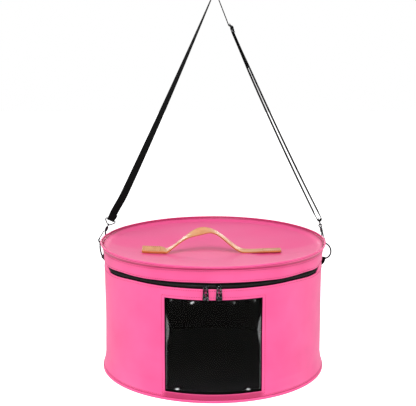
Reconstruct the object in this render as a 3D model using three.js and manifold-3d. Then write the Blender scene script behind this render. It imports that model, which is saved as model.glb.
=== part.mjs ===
// A round hat box that hangs by its shoulder strap: drum, zipped lid, window, handle, rings, hooks and strap.
// Millimetres and degrees, +Z up. The origin is the underside of the strap's crown, where it hangs.
import * as THREE from 'three';
import { mergeVertices } from 'three/addons/utils/BufferGeometryUtils.js';
import Module from 'manifold-3d';

const wasm = await Module();
wasm.setup();

// Driving dimensions of the drum
const facets = 56;
const clearance = 0.3;
const bodyRadius = 208.6;
const zipBottom = 209.3;
const wallThickness = 2.4;
const footFlare = 5.8;
const footRadius = bodyRadius + footFlare;
const footHeight = 25;
const waistDepth = 0.7;
const baseWeltHeight = 5;
const baseWeltThickness = 2.8;
const baseThickness = 2.5;
const liningThickness = 1;

// Driving dimensions of the window
const windowWidth = 171;
const windowBottom = 15;
const windowTop = 189;
const windowSeam = 9;
const bindingReveal = 3.2;
const bindingThickness = 0.8;
const filmThickness = 0.5;

// Driving dimensions of the zip
const zipHeight = 8.9;
const zipHalfAngle = 82;
const tapeThickness = 1;
const tapeSeam = 8;
const coilHeight = 4.2;
const coilThickness = 1.2;
const sliderWidth = 9.6;
const sliderPlate = 2.4;
const crownReach = 4.4;
const crownWidth = 2.6;
const crownSlot = 2.8;
const pullLength = 24.5;
const pullTopWidth = 8.6;
const pullFootWidth = 11.6;
const pullThickness = 1.6;
const pullBar = 1.5;
const sliderAngles = { left: -3.7, right: 2.6 };

// Driving dimensions of the lid
const skirtHeight = 18.6;
const skirtFlare = 2.2;
const skirtThickness = 2.2;
const rimHeight = 11;
const rimReach = 6.9;
const rimRadius = bodyRadius + rimReach;
const rimThickness = 2.6;
const lidDrop = 5;
const lidThickness = 2.2;
const lidSag = 19;
const valleyHalfWidth = 15;

// Driving dimensions of the handle
const handleWidth = 24;
const handleThickness = 2.4;
const handleEndThickness = 4.8;
const handleLeft = -136;
const handleRight = 131;
const handleEndLength = 40;
const handlePeak = -10;
const handleRise = 40;
const handleLeftPower = 1.1;
const handleRightPower = 1.8;

// Driving dimensions of the rings, tabs and hooks
const ringRadius = 15.5;
const ringWire = 1.5;
const ringStandOff = 11.9;
const tabWidth = 12;
const tabThickness = 1.3;
const tabSewnLength = 18;
const hookWire = 1.6;
const eyeInner = 3.1;
const eyeHeight = 22.5;
const shankLength = 6;
const barrelRadius = 2.8;
const barrelLength = 9.7;
const eyeletRadius = 3;
const eyeletWire = 1.1;
const loopWidth = 19.6;
const loopHeight = 12.3;
const loopWire = 1.1;
const gateWire = 1;

// Driving dimensions of the strap
const strapWidth = 14.6;
const strapThickness = 1.3;
const crownRise = 461.8;
const crownOffset = 3;
const crownRadius = 5;
const leftSag = 5.5;
const rightSag = 7;
const tearRadius = 4.2;
const tailShare = 0.18;
const adjusterLength = 17.8;
const adjusterBar = 0.9;
const adjusterRail = 1.6;
const adjusterDish = 1;
const adjusterAside = 31.8;
const adjusterDrop = 54.9;
const adjusterLean = 36;
const foldLength = 26;
const settleLength = 60;
const twistLength = 120;

// Where each ring hangs, and how the ring and its hook lean and turn. Azimuth 0 is to the right, 90 behind.
const hangers = {
  left: { azimuth: 165, ringHeight: 215.5, ringLean: 9, ringTurn: 9, hookLean: 26, hookTurn: 5, loopTurn: 15 },
  right: { azimuth: 15, ringHeight: 211.5, ringLean: 4, ringTurn: 45, hookLean: 14, hookTurn: 45, loopTurn: 75 },
};

// Colours and finishes
const finish = {
  pink: { color: 0xf9619c, roughness: 0.45 },
  lining: { color: 0x161517, roughness: 0.85 },
  film: { color: 0xdfe6ea, roughness: 0.08, transparent: true, opacity: 0.25 },
  tape: { color: 0x1c1f20, roughness: 0.8 },
  metal: { color: 0x55565a, roughness: 0.25, metalness: 1 },
  leather: { color: 0xd99a62, roughness: 0.55 },
  webbing: { color: 0x121212, roughness: 0.85 },
};
const material = (name) => new THREE.MeshStandardMaterial(finish[name]);
const rad = THREE.MathUtils.degToRad;

const box = new THREE.Group();

// Drops normals and uvs, merges shared vertices and turns the faces outward.
function closed(geometry) {
  const bare = geometry.index ? geometry.toNonIndexed() : geometry.clone();
  bare.deleteAttribute('normal');
  bare.deleteAttribute('uv');
  const merged = mergeVertices(bare, 1e-4);
  const index = merged.index.array;
  const at = merged.attributes.position;
  const [a, b, c] = [new THREE.Vector3(), new THREE.Vector3(), new THREE.Vector3()];
  const kept = [];
  let volume = 0;
  for (let i = 0; i < index.length; i += 3) {
    const corners = [index[i], index[i + 1], index[i + 2]];
    if (new Set(corners).size < 3) continue;
    a.fromBufferAttribute(at, corners[0]);
    b.fromBufferAttribute(at, corners[1]);
    c.fromBufferAttribute(at, corners[2]);
    volume += a.dot(b.cross(c));
    kept.push(corners);
  }
  const outward = volume > 0 ? kept : kept.map(([p, q, r]) => [p, r, q]);
  merged.setIndex(outward.flat());
  return merged;
}

// A geometry as a manifold-3d solid, and back.
function solidOf(geometry) {
  const g = closed(geometry);
  const vertProperties = new Float32Array(g.attributes.position.array);
  const triVerts = new Uint32Array(g.index.array);
  return new wasm.Manifold(new wasm.Mesh({ numProp: 3, vertProperties, triVerts }));
}
function geometryOf(solid) {
  const made = solid.getMesh();
  const g = new THREE.BufferGeometry();
  g.setAttribute('position', new THREE.Float32BufferAttribute(made.vertProperties, 3));
  g.setIndex([...made.triVerts]);
  return g;
}

function add(parent, name, geometry, materialName) {
  const g = closed(geometry);
  g.computeVertexNormals();
  const mesh = new THREE.Mesh(g, material(materialName));
  mesh.name = name;
  parent.add(mesh);
  return mesh;
}

// The corners of a regular outline, for a small round hole
function roundCorners(x, y, radius, count) {
  return Array.from({ length: count }, (unused, i) => {
    const angle = (2 * Math.PI * i) / count;
    return new THREE.Vector2(x + radius * Math.cos(angle), y + radius * Math.sin(angle));
  });
}

// A closed profile of [radius, height] pairs turned about Z, its first facet corner at the front.
function turned(profile, sides = facets) {
  const points = profile.map(([r, z]) => new THREE.Vector2(r, z));
  const first = profile[0];
  const last = profile[profile.length - 1];
  const onAxis = first[0] === 0 && last[0] === 0;
  if (!onAxis) points.push(points[0].clone());
  return new THREE.LatheGeometry(points, sides).rotateX(Math.PI / 2);
}

// A wall from its outside line, with the inside line a thickness further in.
function wallProfile(outside, thickness) {
  const inside = outside.map(([r, z]) => [r - thickness, z]).reverse();
  return [...outside, ...inside];
}

// A block over a share of the circle, from the front round each way by halfAngle.
function frontWedge(halfAngle, radius, bottom, top) {
  const shape = new THREE.Shape();
  shape.moveTo(0, 0);
  const steps = 12;
  for (let i = 0; i <= steps; i += 1) {
    const angle = rad(-90 - halfAngle + (2 * halfAngle * i) / steps);
    shape.lineTo(radius * Math.cos(angle), radius * Math.sin(angle));
  }
  const block = new THREE.ExtrudeGeometry(shape, { depth: top - bottom, bevelEnabled: false });
  return block.translate(0, 0, bottom);
}

// A flat band swept along stations {at, along, across, width, thickness}: a box bent to the path.
function bandAlong(stations) {
  const steps = stations.length - 1;
  const g = new THREE.BoxGeometry(1, 1, 1, 1, 1, steps);
  const position = g.attributes.position;
  const v = new THREE.Vector3();
  for (let i = 0; i < position.count; i += 1) {
    v.fromBufferAttribute(position, i);
    const s = stations[Math.round((v.z + 0.5) * steps)];
    const up = new THREE.Vector3().crossVectors(s.along, s.across).normalize();
    const across = new THREE.Vector3().crossVectors(up, s.along).normalize();
    const place = s.at.clone();
    place.addScaledVector(across, v.x * s.width);
    place.addScaledVector(up, v.y * s.thickness);
    position.setXYZ(i, place.x, place.y, place.z);
  }
  return g;
}

// A closed round wire on a closed curve: a torus whose rings are carried onto the curve.
function wireLoop(curve, radius, steps, sides, normal) {
  const g = new THREE.TorusGeometry(1, 0.5, sides, steps);
  const position = g.attributes.position;
  const v = new THREE.Vector3();
  for (let i = 0; i < position.count; i += 1) {
    v.fromBufferAttribute(position, i);
    const share = (Math.atan2(v.y, v.x) / (2 * Math.PI) + 1) % 1;
    const sideways = (Math.hypot(v.x, v.y) - 1) / 0.5;
    const upward = v.z / 0.5;
    const at = curve.getPointAt(share);
    const along = curve.getTangentAt(share);
    const out = new THREE.Vector3().crossVectors(along, normal).normalize();
    at.addScaledVector(out, sideways * radius);
    at.addScaledVector(normal, upward * radius);
    position.setXYZ(i, at.x, at.y, at.z);
  }
  return g;
}

// A round wire with two ends on an open curve.
function wireAlong(curve, radius, steps, sides) {
  const shape = new THREE.Shape();
  for (let i = 0; i < sides; i += 1) {
    const angle = (2 * Math.PI * i) / sides;
    const corner = [radius * Math.cos(angle), radius * Math.sin(angle)];
    if (i === 0) shape.moveTo(...corner);
    else shape.lineTo(...corner);
  }
  return new THREE.ExtrudeGeometry(shape, { steps, extrudePath: curve, bevelEnabled: false });
}

// Heights and radii that several pieces share
const wallBottom = baseWeltHeight + clearance;
const wallInside = bodyRadius - wallThickness;
const bindingRadius = wallInside - waistDepth - clearance;
const filmRadius = bindingRadius - bindingThickness - clearance;
const liningRadius = filmRadius - filmThickness - clearance;
const zipTop = zipBottom + zipHeight;
const skirtBottom = zipTop + clearance;
const rimBottom = zipTop + skirtHeight;
const rimTop = rimBottom + rimHeight;
const lidEdge = rimTop - lidDrop;
const tapeRadius = wallInside - clearance;
const coilMiddle = zipBottom + zipHeight / 2;
const sliderHeight = zipHeight - 2 * clearance;

// The drum
function makeDrum() {
  const waist = (zipBottom + footHeight) / 2;
  const outside = [
    [footRadius - 0.8, wallBottom],
    [bodyRadius + 0.45 * (footRadius - bodyRadius), wallBottom + 0.35 * footHeight],
    [bodyRadius, wallBottom + footHeight],
    [bodyRadius - waistDepth, waist],
    [bodyRadius, zipBottom - clearance],
  ];
  const opening = new THREE.BoxGeometry(windowWidth, bodyRadius, windowTop - windowBottom);
  opening.translate(0, -bodyRadius, (windowTop + windowBottom) / 2);
  const cutter = solidOf(opening);
  const wall = solidOf(turned(wallProfile(outside, wallThickness))).subtract(cutter);
  add(box, 'body_wall', geometryOf(wall), 'pink');

  const weltInside = footRadius - baseWeltThickness;
  const welt = [
    [weltInside, 0],
    [footRadius - 0.7, 0],
    [footRadius, 1],
    [footRadius, baseWeltHeight - 0.8],
    [footRadius - 0.8, baseWeltHeight],
    [weltInside, baseWeltHeight],
  ];
  add(box, 'base_welt', turned(welt), 'pink');
  const baseEdge = weltInside - clearance;
  add(box, 'base_panel', turned([[0, 0], [baseEdge, 0], [baseEdge, baseThickness], [0, baseThickness]]), 'pink');

  const floorBottom = baseThickness + clearance;
  const floorTop = floorBottom + liningThickness;
  const floorProfile = [[0, floorBottom], [baseEdge, floorBottom], [baseEdge, floorTop], [0, floorTop]];
  add(box, 'lining_floor', turned(floorProfile), 'lining');
  const liningLine = [[liningRadius, floorTop + clearance], [liningRadius, zipBottom - clearance]];
  const lining = solidOf(turned(wallProfile(liningLine, liningThickness))).subtract(cutter);
  add(box, 'lining_wall', geometryOf(lining), 'lining');

  // The window's black binding and clear film lie one behind the other between wall and lining
  const seamWidth = windowWidth + 2 * windowSeam;
  const seamBottom = windowBottom - windowSeam + 1.5;
  const seamTop = windowTop + windowSeam;
  const seam = new THREE.BoxGeometry(seamWidth, bodyRadius, seamTop - seamBottom);
  seam.translate(0, -bodyRadius, (seamTop + seamBottom) / 2);
  const seamBlock = solidOf(seam);
  const clearWidth = windowWidth - 2 * bindingReveal;
  const clearHeight = windowTop - windowBottom - 2 * bindingReveal;
  const clear = new THREE.BoxGeometry(clearWidth, bodyRadius, clearHeight);
  clear.translate(0, -bodyRadius, (windowTop + windowBottom) / 2);
  const sheet = (radius, thickness) => {
    const line = [[radius, seamBottom - 1], [radius, seamTop + 1]];
    return solidOf(turned(wallProfile(line, thickness))).intersect(seamBlock);
  };
  const binding = sheet(bindingRadius, bindingThickness).subtract(solidOf(clear));
  add(box, 'window_binding', geometryOf(binding), 'tape');
  add(box, 'window_film', geometryOf(sheet(filmRadius, filmThickness)), 'film');
}

// The zip: two tapes and a coil round the front, and the hinge strip that closes the back
function makeZip() {
  const wedge = solidOf(frontWedge(zipHalfAngle, 2 * bodyRadius, 0, rimTop));
  const gapAngle = rad(zipHalfAngle) + (2 * clearance) / bodyRadius;
  const wider = solidOf(frontWedge(THREE.MathUtils.radToDeg(gapAngle), 2 * bodyRadius, 0, rimTop));
  const halfCoil = coilHeight / 2;
  const split = clearance / 2;
  const lowerLine = [[tapeRadius, zipBottom - tapeSeam], [tapeRadius, coilMiddle - split]];
  const upperLine = [[tapeRadius, coilMiddle + split], [tapeRadius, zipTop + tapeSeam]];
  const lower = solidOf(turned(wallProfile(lowerLine, tapeThickness))).intersect(wedge);
  const upper = solidOf(turned(wallProfile(upperLine, tapeThickness))).intersect(wedge);
  add(box, 'zip_tape_lower', geometryOf(lower), 'tape');
  add(box, 'zip_tape_upper', geometryOf(upper), 'tape');
  const coilInside = tapeRadius + clearance;
  const coilOutside = coilInside + coilThickness;
  const coilProfile = [
    [coilInside, coilMiddle - halfCoil],
    [coilOutside, coilMiddle - halfCoil + 0.8],
    [coilOutside, coilMiddle + halfCoil - 0.8],
    [coilInside, coilMiddle + halfCoil],
  ];
  add(box, 'zip_coil', geometryOf(solidOf(turned(coilProfile)).intersect(wedge)), 'tape');
  const stripLine = [[bodyRadius, zipBottom], [bodyRadius, zipTop]];
  const strip = solidOf(turned(wallProfile(stripLine, wallThickness))).subtract(wider);
  add(box, 'hinge_strip', geometryOf(strip), 'pink');

  const plateBack = coilOutside + clearance;
  for (const [side, angle] of Object.entries(sliderAngles)) {
    const place = new THREE.Group();
    place.rotation.z = rad(angle);
    box.add(place);
    makeSlider(place, side, plateBack);
  }
}

// Where a pull turns: across the slider's crown, in the group of its own slider
const pullAxis = {
  reach: tapeRadius + clearance + coilThickness + clearance + sliderPlate + crownSlot / 2,
  height: coilMiddle - sliderHeight * 0.1,
};

// A slider faces -Y in its own group: a plate on the coil, with a crown that holds the pull
function makeSlider(place, side, plateBack) {
  const half = sliderWidth / 2;
  const tall = sliderHeight / 2;
  const plate = new THREE.Shape([
    new THREE.Vector2(-half * 0.72, -tall),
    new THREE.Vector2(half * 0.72, -tall),
    new THREE.Vector2(half, -tall * 0.3),
    new THREE.Vector2(half, tall * 0.5),
    new THREE.Vector2(half * 0.55, tall),
    new THREE.Vector2(-half * 0.55, tall),
    new THREE.Vector2(-half, tall * 0.5),
    new THREE.Vector2(-half, -tall * 0.3),
  ]);
  const plateFront = plateBack + sliderPlate;
  const body = new THREE.ExtrudeGeometry(plate, { depth: sliderPlate, bevelEnabled: false });
  body.rotateX(Math.PI / 2).translate(0, -plateBack, coilMiddle);
  const archTall = sliderHeight * 0.4;
  const arch = new THREE.Shape([
    new THREE.Vector2(-0.4, -archTall),
    new THREE.Vector2(crownReach * 0.7, -archTall),
    new THREE.Vector2(crownReach, -archTall * 0.6),
    new THREE.Vector2(crownReach, archTall * 0.6),
    new THREE.Vector2(crownReach * 0.7, archTall),
    new THREE.Vector2(-0.4, archTall),
  ]);
  const slot = [
    new THREE.Vector2(0.05, -archTall + 1.2),
    new THREE.Vector2(crownSlot, -archTall + 1.2),
    new THREE.Vector2(crownSlot, archTall - 1.2),
    new THREE.Vector2(0.05, archTall - 1.2),
  ];
  arch.holes.push(new THREE.Path(slot));
  const crown = new THREE.ExtrudeGeometry(arch, { depth: crownWidth, bevelEnabled: false });
  crown.translate(0, 0, -crownWidth / 2);
  const turn = new THREE.Matrix4().makeBasis(
    new THREE.Vector3(0, -1, 0),
    new THREE.Vector3(0, 0, 1),
    new THREE.Vector3(-1, 0, 0),
  );
  crown.applyMatrix4(turn).translate(0, -plateFront, coilMiddle);
  add(place, 'zip_slider_' + side, geometryOf(solidOf(body).add(solidOf(crown))), 'metal');

  const pull = new THREE.Shape();
  const top = pullBar / 2;
  pull.moveTo(-pullTopWidth / 2 + 1.4, top);
  pull.lineTo(pullTopWidth / 2 - 1.4, top);
  pull.lineTo(pullTopWidth / 2, top - 1.8);
  pull.lineTo(pullFootWidth / 2, top - pullLength + 2.6);
  pull.absarc(pullFootWidth / 2 - 2.6, top - pullLength + 2.6, 2.6, 0, -Math.PI / 2, true);
  pull.absarc(-pullFootWidth / 2 + 2.6, top - pullLength + 2.6, 2.6, -Math.PI / 2, -Math.PI, true);
  pull.lineTo(-pullTopWidth / 2, top - 1.8);
  const eyeHalf = crownWidth / 2 + 0.7;
  const eyeBottom = -(sliderHeight * 0.4 + pullBar + 0.2);
  pull.holes.push(new THREE.Path([
    new THREE.Vector2(-eyeHalf, -top),
    new THREE.Vector2(-eyeHalf, eyeBottom),
    new THREE.Vector2(eyeHalf, eyeBottom),
    new THREE.Vector2(eyeHalf, -top),
  ]));
  const windowHigh = eyeBottom - 1.6;
  const windowLow = windowHigh - 4.6;
  pull.holes.push(new THREE.Path([
    new THREE.Vector2(-1.9, windowHigh),
    new THREE.Vector2(-2.1, windowLow),
    new THREE.Vector2(2.1, windowLow),
    new THREE.Vector2(1.9, windowHigh),
  ]));
  pull.holes.push(new THREE.Path(roundCorners(0, windowLow - 3.6, 1.5, 10)));
  const tab = new THREE.ExtrudeGeometry(pull, {
    depth: pullThickness,
    bevelEnabled: false,
    curveSegments: 5,
  });
  tab.translate(0, 0, -pullThickness / 2).rotateX(Math.PI / 2);
  tab.translate(0, -pullAxis.reach, pullAxis.height);
  add(place, 'zip_pull_' + side, tab, 'metal');
}

// Depth of the dished lid below its edge: a level valley under the handle, rising to the rim all round
function lidDepth(x, y) {
  const edge = rimRadius - rimThickness - 2 * clearance;
  const reach = Math.sqrt(Math.max(edge * edge - x * x, 1));
  const along = 1 - Math.abs(x / edge) ** 5;
  const beyond = Math.max(Math.abs(y) - valleyHalfWidth, 0);
  const across = 1 - Math.min(beyond / Math.max(reach - valleyHalfWidth, 1), 1) ** 1.15;
  return lidSag * Math.max(along, 0) * across;
}

// The lid: a skirt over the zip, a flared rim and the dished panel
function makeLid() {
  const skirtTop = rimBottom - clearance;
  const skirtLine = [
    [bodyRadius, skirtBottom],
    [bodyRadius + 0.35 * skirtFlare, skirtBottom + 0.45 * skirtHeight],
    [bodyRadius + skirtFlare, skirtTop],
  ];
  add(box, 'lid_skirt', turned(wallProfile(skirtLine, skirtThickness)), 'pink');
  const rimFoot = bodyRadius + skirtFlare + 0.4;
  const rimLine = [
    [rimFoot, rimBottom],
    [rimFoot + 0.5 * (rimRadius - rimFoot), rimBottom + 0.45 * rimHeight],
    [rimRadius, rimTop - 1.4],
    [rimRadius - 0.7, rimTop],
  ];
  const rim = wallProfile(rimLine, rimThickness);
  rim.splice(4, 1, [rimRadius - rimThickness + 0.5, rimTop]);
  add(box, 'lid_welt', turned(rim), 'pink');

  const panelFoot = lidEdge - lidThickness;
  const insideAt = (z) => {
    const share = Math.min((z - rimBottom) / (0.45 * rimHeight), 1);
    return rimFoot + share * 0.5 * (rimRadius - rimFoot) - rimThickness - clearance;
  };
  const shares = [0.965, 0.88, 0.76, 0.6, 0.42, 0.22];
  const topEdge = insideAt(lidEdge);
  const footEdge = insideAt(panelFoot);
  const topLine = shares.map((s) => [s * topEdge, lidEdge]);
  const footLine = shares.map((s) => [s * footEdge, panelFoot]).reverse();
  const profile = [[0, panelFoot], ...footLine, [footEdge, panelFoot], [topEdge, lidEdge], ...topLine, [0, lidEdge]];
  const panel = turned(profile);
  const position = panel.attributes.position;
  for (let i = 0; i < position.count; i += 1) {
    const depth = lidDepth(position.getX(i), position.getY(i));
    const radius = Math.hypot(position.getX(i), position.getY(i));
    if (radius < footEdge - 0.5) position.setZ(i, position.getZ(i) - depth);
  }
  add(box, 'lid_panel', panel, 'pink');
}

// The handle: a leather strap with doubled ends on the lid and an arch between them
function makeHandle() {
  const footClear = 2 * clearance;
  const seat = (x) => lidEdge - lidDepth(x, 0) + footClear;
  const archLeft = handleLeft + handleEndLength + 6;
  const archRight = handleRight - handleEndLength - 30;
  const lift = (x) => {
    if (x <= archLeft || x >= archRight) return 0;
    const onLeft = x < handlePeak;
    const span = onLeft ? handlePeak - archLeft : archRight - handlePeak;
    const share = 1 - Math.abs(x - handlePeak) / span;
    return handleRise * Math.sin((Math.PI / 2) * share) ** (onLeft ? handleLeftPower : handleRightPower);
  };
  const thick = (x) => {
    const inset = Math.min(x - handleLeft, handleRight - x);
    const blend = THREE.MathUtils.smoothstep(inset, handleEndLength - 4, handleEndLength + 2);
    return THREE.MathUtils.lerp(handleEndThickness, handleThickness, blend);
  };
  const steps = 44;
  const stations = [];
  const middle = (x) => seat(x) + lift(x) + thick(x) / 2;
  for (let i = 0; i <= steps; i += 1) {
    const x = THREE.MathUtils.lerp(handleLeft, handleRight, i / steps);
    const slope = new THREE.Vector3(2, 0, middle(x + 1) - middle(x - 1)).normalize();
    stations.push({
      at: new THREE.Vector3(x, 0, middle(x)),
      along: slope,
      across: new THREE.Vector3(0, 1, 0),
      width: handleWidth,
      thickness: thick(x),
    });
  }
  add(box, 'handle', bandAlong(stations), 'leather');
}

// Corners of the trapezoid wire loop, in its own plane: x across, y up the hook
function loopCurve() {
  const half = loopWidth / 2;
  const corners = [
    [0, 0],
    [2.2, 0.9],
    [half - 1.2, loopHeight * 0.58],
    [half, loopHeight * 0.75],
    [half - 0.4, loopHeight - 0.7],
    [half - 1.6, loopHeight],
    [0, loopHeight],
  ];
  const mirrored = corners.slice(1, -1).reverse().map(([x, y]) => [-x, y]);
  const points = [...corners, ...mirrored].map(([x, y]) => new THREE.Vector3(x, y, 0));
  return new THREE.CatmullRomCurve3(points, true, 'catmullrom', 0.35);
}

// Heights along the hook, from the ring's wire upward
const eyeRadius = eyeInner + hookWire;
const eyeBottom = -(ringWire + clearance + hookWire);
const eyeMiddle = eyeBottom + eyeRadius;
const shankBottom = eyeMiddle + eyeHeight;
const barrelBottom = shankBottom + clearance;
const barrelTop = barrelBottom + barrelLength;
const eyeletMiddle = barrelTop + eyeletRadius + eyeletWire - 0.8;
const loopBottom = eyeletMiddle + eyeletRadius - eyeletWire - loopWire - clearance;
const loopTop = loopBottom + loopHeight;

// A hook in its own group: x across the eye, outward, y along the hook from the ring, z its thickness.
// Above the swivel the barrel and the loop are turned on by swivelTurn.
function makeHook(place, side, swivelTurn) {
  const tip = eyeMiddle + 3.2;
  const back = [
    [0, shankBottom + shankLength],
    [0, shankBottom + 1],
    [-0.6, shankBottom - 2.4],
    [-eyeRadius + 0.3, eyeMiddle + eyeHeight * 0.55],
    [-eyeRadius, eyeMiddle + 2.5],
    [-eyeRadius * 0.92, eyeMiddle - eyeRadius * 0.4],
    [0, eyeBottom],
    [eyeRadius * 0.92, eyeMiddle - eyeRadius * 0.4],
    [eyeRadius, tip],
  ];
  const points = back.map(([x, y]) => new THREE.Vector3(x, y, 0));
  const spine = new THREE.CatmullRomCurve3(points, false, 'catmullrom', 0.5);
  add(place, 'hook_body_' + side, wireAlong(spine, hookWire, 22, 8), 'metal');

  const gateTop = new THREE.Vector3(hookWire + gateWire + clearance, shankBottom - 1.6, 0);
  const gateFoot = new THREE.Vector3(eyeRadius, tip + clearance, 0);
  const gate = wireAlong(new THREE.LineCurve3(gateFoot, gateTop), gateWire, 1, 8);
  add(place, 'hook_gate_' + side, gate, 'metal');

  const swivel = new THREE.Group();
  swivel.rotation.y = rad(swivelTurn);
  place.add(swivel);
  const bore = hookWire + clearance;
  const barrel = new THREE.LatheGeometry([
    new THREE.Vector2(bore, barrelBottom),
    new THREE.Vector2(barrelRadius - 0.3, barrelBottom),
    new THREE.Vector2(barrelRadius, barrelBottom + 0.8),
    new THREE.Vector2(barrelRadius, barrelTop - 1.6),
    new THREE.Vector2(barrelRadius - 0.8, barrelTop),
    new THREE.Vector2(0, barrelTop),
    new THREE.Vector2(0, shankBottom + shankLength + clearance),
    new THREE.Vector2(bore, shankBottom + shankLength + clearance),
    new THREE.Vector2(bore, barrelBottom),
  ], 12);
  const eyelet = new THREE.TorusGeometry(eyeletRadius, eyeletWire, 6, 14);
  eyelet.rotateY(Math.PI / 2).translate(0, eyeletMiddle, 0);
  add(swivel, 'hook_swivel_' + side, geometryOf(solidOf(barrel).add(solidOf(eyelet))), 'metal');

  const normal = new THREE.Vector3(0, 0, 1);
  const loop = wireLoop(loopCurve(), loopWire, 28, 6, normal);
  loop.translate(0, loopBottom, 0);
  add(swivel, 'hook_loop_' + side, loop, 'metal');
  return swivel;
}

// A webbing tab sewn to the wall, folded over the ring's lowest wire. x is outward, z up.
function makeTab(place, side, wireAt, turn) {
  const half = tabThickness / 2;
  const wall = bodyRadius + clearance + half;
  const sewnTop = wireAt.z - 16;
  const bend = ringWire + 2 + half;
  const step = tabThickness + clearance;
  const line = [
    [wall, sewnTop - tabSewnLength],
    [wall, sewnTop - tabSewnLength / 2],
    [wall, sewnTop],
    [wall + 2.5, sewnTop + 4.5],
    [wireAt.x - bend - 1, wireAt.z - 3.4],
  ];
  for (let i = 0; i <= 8; i += 1) {
    const angle = rad(165 - 23 * i);
    line.push([wireAt.x + bend * Math.cos(angle), wireAt.z + bend * Math.sin(angle)]);
  }
  line.push([wall + 2.5 + step + 2.2, sewnTop + 2.3]);
  line.push([wall + step, sewnTop - 2.5]);
  line.push([wall + step, sewnTop - tabSewnLength / 2 - 1]);
  line.push([wall + step, sewnTop - tabSewnLength]);
  const twistAt = (z) => rad(turn) * THREE.MathUtils.smoothstep(z, sewnTop, wireAt.z - 5);
  const points = line.map(([x, z]) => {
    const aside = x - wireAt.x;
    const twist = twistAt(z);
    return new THREE.Vector3(wireAt.x + aside * Math.cos(twist), aside * Math.sin(twist), z);
  });
  const stations = points.map((at, i) => ({
    at,
    along: new THREE.Vector3().subVectors(
      points[Math.min(i + 1, points.length - 1)],
      points[Math.max(i - 1, 0)],
    ).normalize(),
    across: new THREE.Vector3(-Math.sin(twistAt(at.z)), Math.cos(twistAt(at.z)), 0),
    width: tabWidth,
    thickness: tabThickness,
  }));
  add(place, 'ring_tab_' + side, bandAlong(stations), 'webbing');
}

// One side's tab, ring and hook. Returns the loop's bar: its middle and its direction.
function makeHanger(side, hanger) {
  const place = new THREE.Group();
  place.rotation.z = rad(hanger.azimuth);
  box.add(place);
  const centre = new THREE.Vector3(rimRadius + ringStandOff, 0, hanger.ringHeight);
  const ring = new THREE.Group();
  ring.position.copy(centre);
  ring.rotation.set(0, rad(hanger.ringLean), rad(90 + hanger.ringTurn), 'YZX');
  place.add(ring);
  const hoop = new THREE.TorusGeometry(ringRadius, ringWire, 6, 26).rotateX(Math.PI / 2);
  add(ring, 'ring_' + side, hoop, 'metal');
  const lean = rad(hanger.ringLean);
  const top = centre.clone().add(new THREE.Vector3(Math.sin(lean), 0, Math.cos(lean)).multiplyScalar(ringRadius));
  const foot = centre.clone().sub(new THREE.Vector3(Math.sin(lean), 0, Math.cos(lean)).multiplyScalar(ringRadius));
  makeTab(place, side, foot, hanger.ringTurn);

  const hook = new THREE.Group();
  hook.position.copy(top);
  const axis = new THREE.Vector3(-Math.sin(rad(hanger.hookLean)), 0, Math.cos(rad(hanger.hookLean)));
  const outward = new THREE.Vector3(Math.cos(rad(hanger.hookLean)), 0, Math.sin(rad(hanger.hookLean)));
  const across = outward.clone().applyAxisAngle(axis, rad(hanger.hookTurn));
  const normal = new THREE.Vector3().crossVectors(across, axis);
  hook.quaternion.setFromRotationMatrix(new THREE.Matrix4().makeBasis(across, axis, normal));
  place.add(hook);
  const swivel = makeHook(hook, side, hanger.loopTurn - hanger.hookTurn);

  box.updateMatrixWorld(true);
  return {
    bar: new THREE.Vector3(0, loopTop, 0).applyMatrix4(swivel.matrixWorld),
    across: new THREE.Vector3(1, 0, 0).transformDirection(swivel.matrixWorld),
  };
}

const crown = new THREE.Vector3(crownOffset, 0, rimTop + crownRise);
const plyStep = strapThickness + clearance;

// A direction turned part of the way to another about the axis that it is square to
function turnedPart(from, to, axis, share) {
  const flat = (v) => v.clone().addScaledVector(axis, -v.dot(axis)).normalize();
  const start = flat(from);
  const end = flat(to);
  const angle = Math.atan2(new THREE.Vector3().crossVectors(start, end).dot(axis), start.dot(end));
  return start.applyAxisAngle(axis, angle * share);
}

// The direction of the line that touches two wheels {at, radius, turn}. Turn 1 keeps a wheel on the left.
function touching(from, to) {
  const gap = to.at.clone().sub(from.at);
  const tilt = Math.asin((from.turn * from.radius - to.turn * to.radius) / gap.length());
  return Math.atan2(gap.y, gap.x) + tilt;
}

// Where a line of that direction touches the wheel
function touchPoint(wheel, angle) {
  const reach = wheel.turn * wheel.radius;
  return new THREE.Vector2(wheel.at.x + reach * Math.sin(angle), wheel.at.y - reach * Math.cos(angle));
}

// A belt's path over a row of wheels: arcs on the wheels, and runs between them that may sag or end early
function beltPath(wheels) {
  const points = [];
  const runs = wheels.slice(1).map((wheel, i) => touching(wheels[i], wheel));
  wheels.slice(0, -1).forEach((wheel, i) => {
    if (i > 0) {
      let swing = Math.atan2(Math.sin(runs[i] - runs[i - 1]), Math.cos(runs[i] - runs[i - 1]));
      if (swing * wheel.turn < -0.3) swing += 2 * Math.PI * wheel.turn;
      const count = Math.max(1, Math.ceil(Math.abs(swing) / 0.45));
      for (let k = 0; k <= count; k += 1) points.push(touchPoint(wheel, runs[i - 1] + (swing * k) / count));
    }
    const { steps = 1, sag = 0, until = 1 } = wheel;
    const start = touchPoint(wheel, runs[i]);
    const end = touchPoint(wheels[i + 1], runs[i]);
    const last = until < 1 ? steps : steps - 1;
    for (let k = 1; k <= last; k += 1) {
      const share = (until * k) / steps;
      const at = start.clone().lerp(end, share);
      at.y -= 4 * sag * share * (1 - share);
      points.push(at);
    }
  });
  return points;
}

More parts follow.
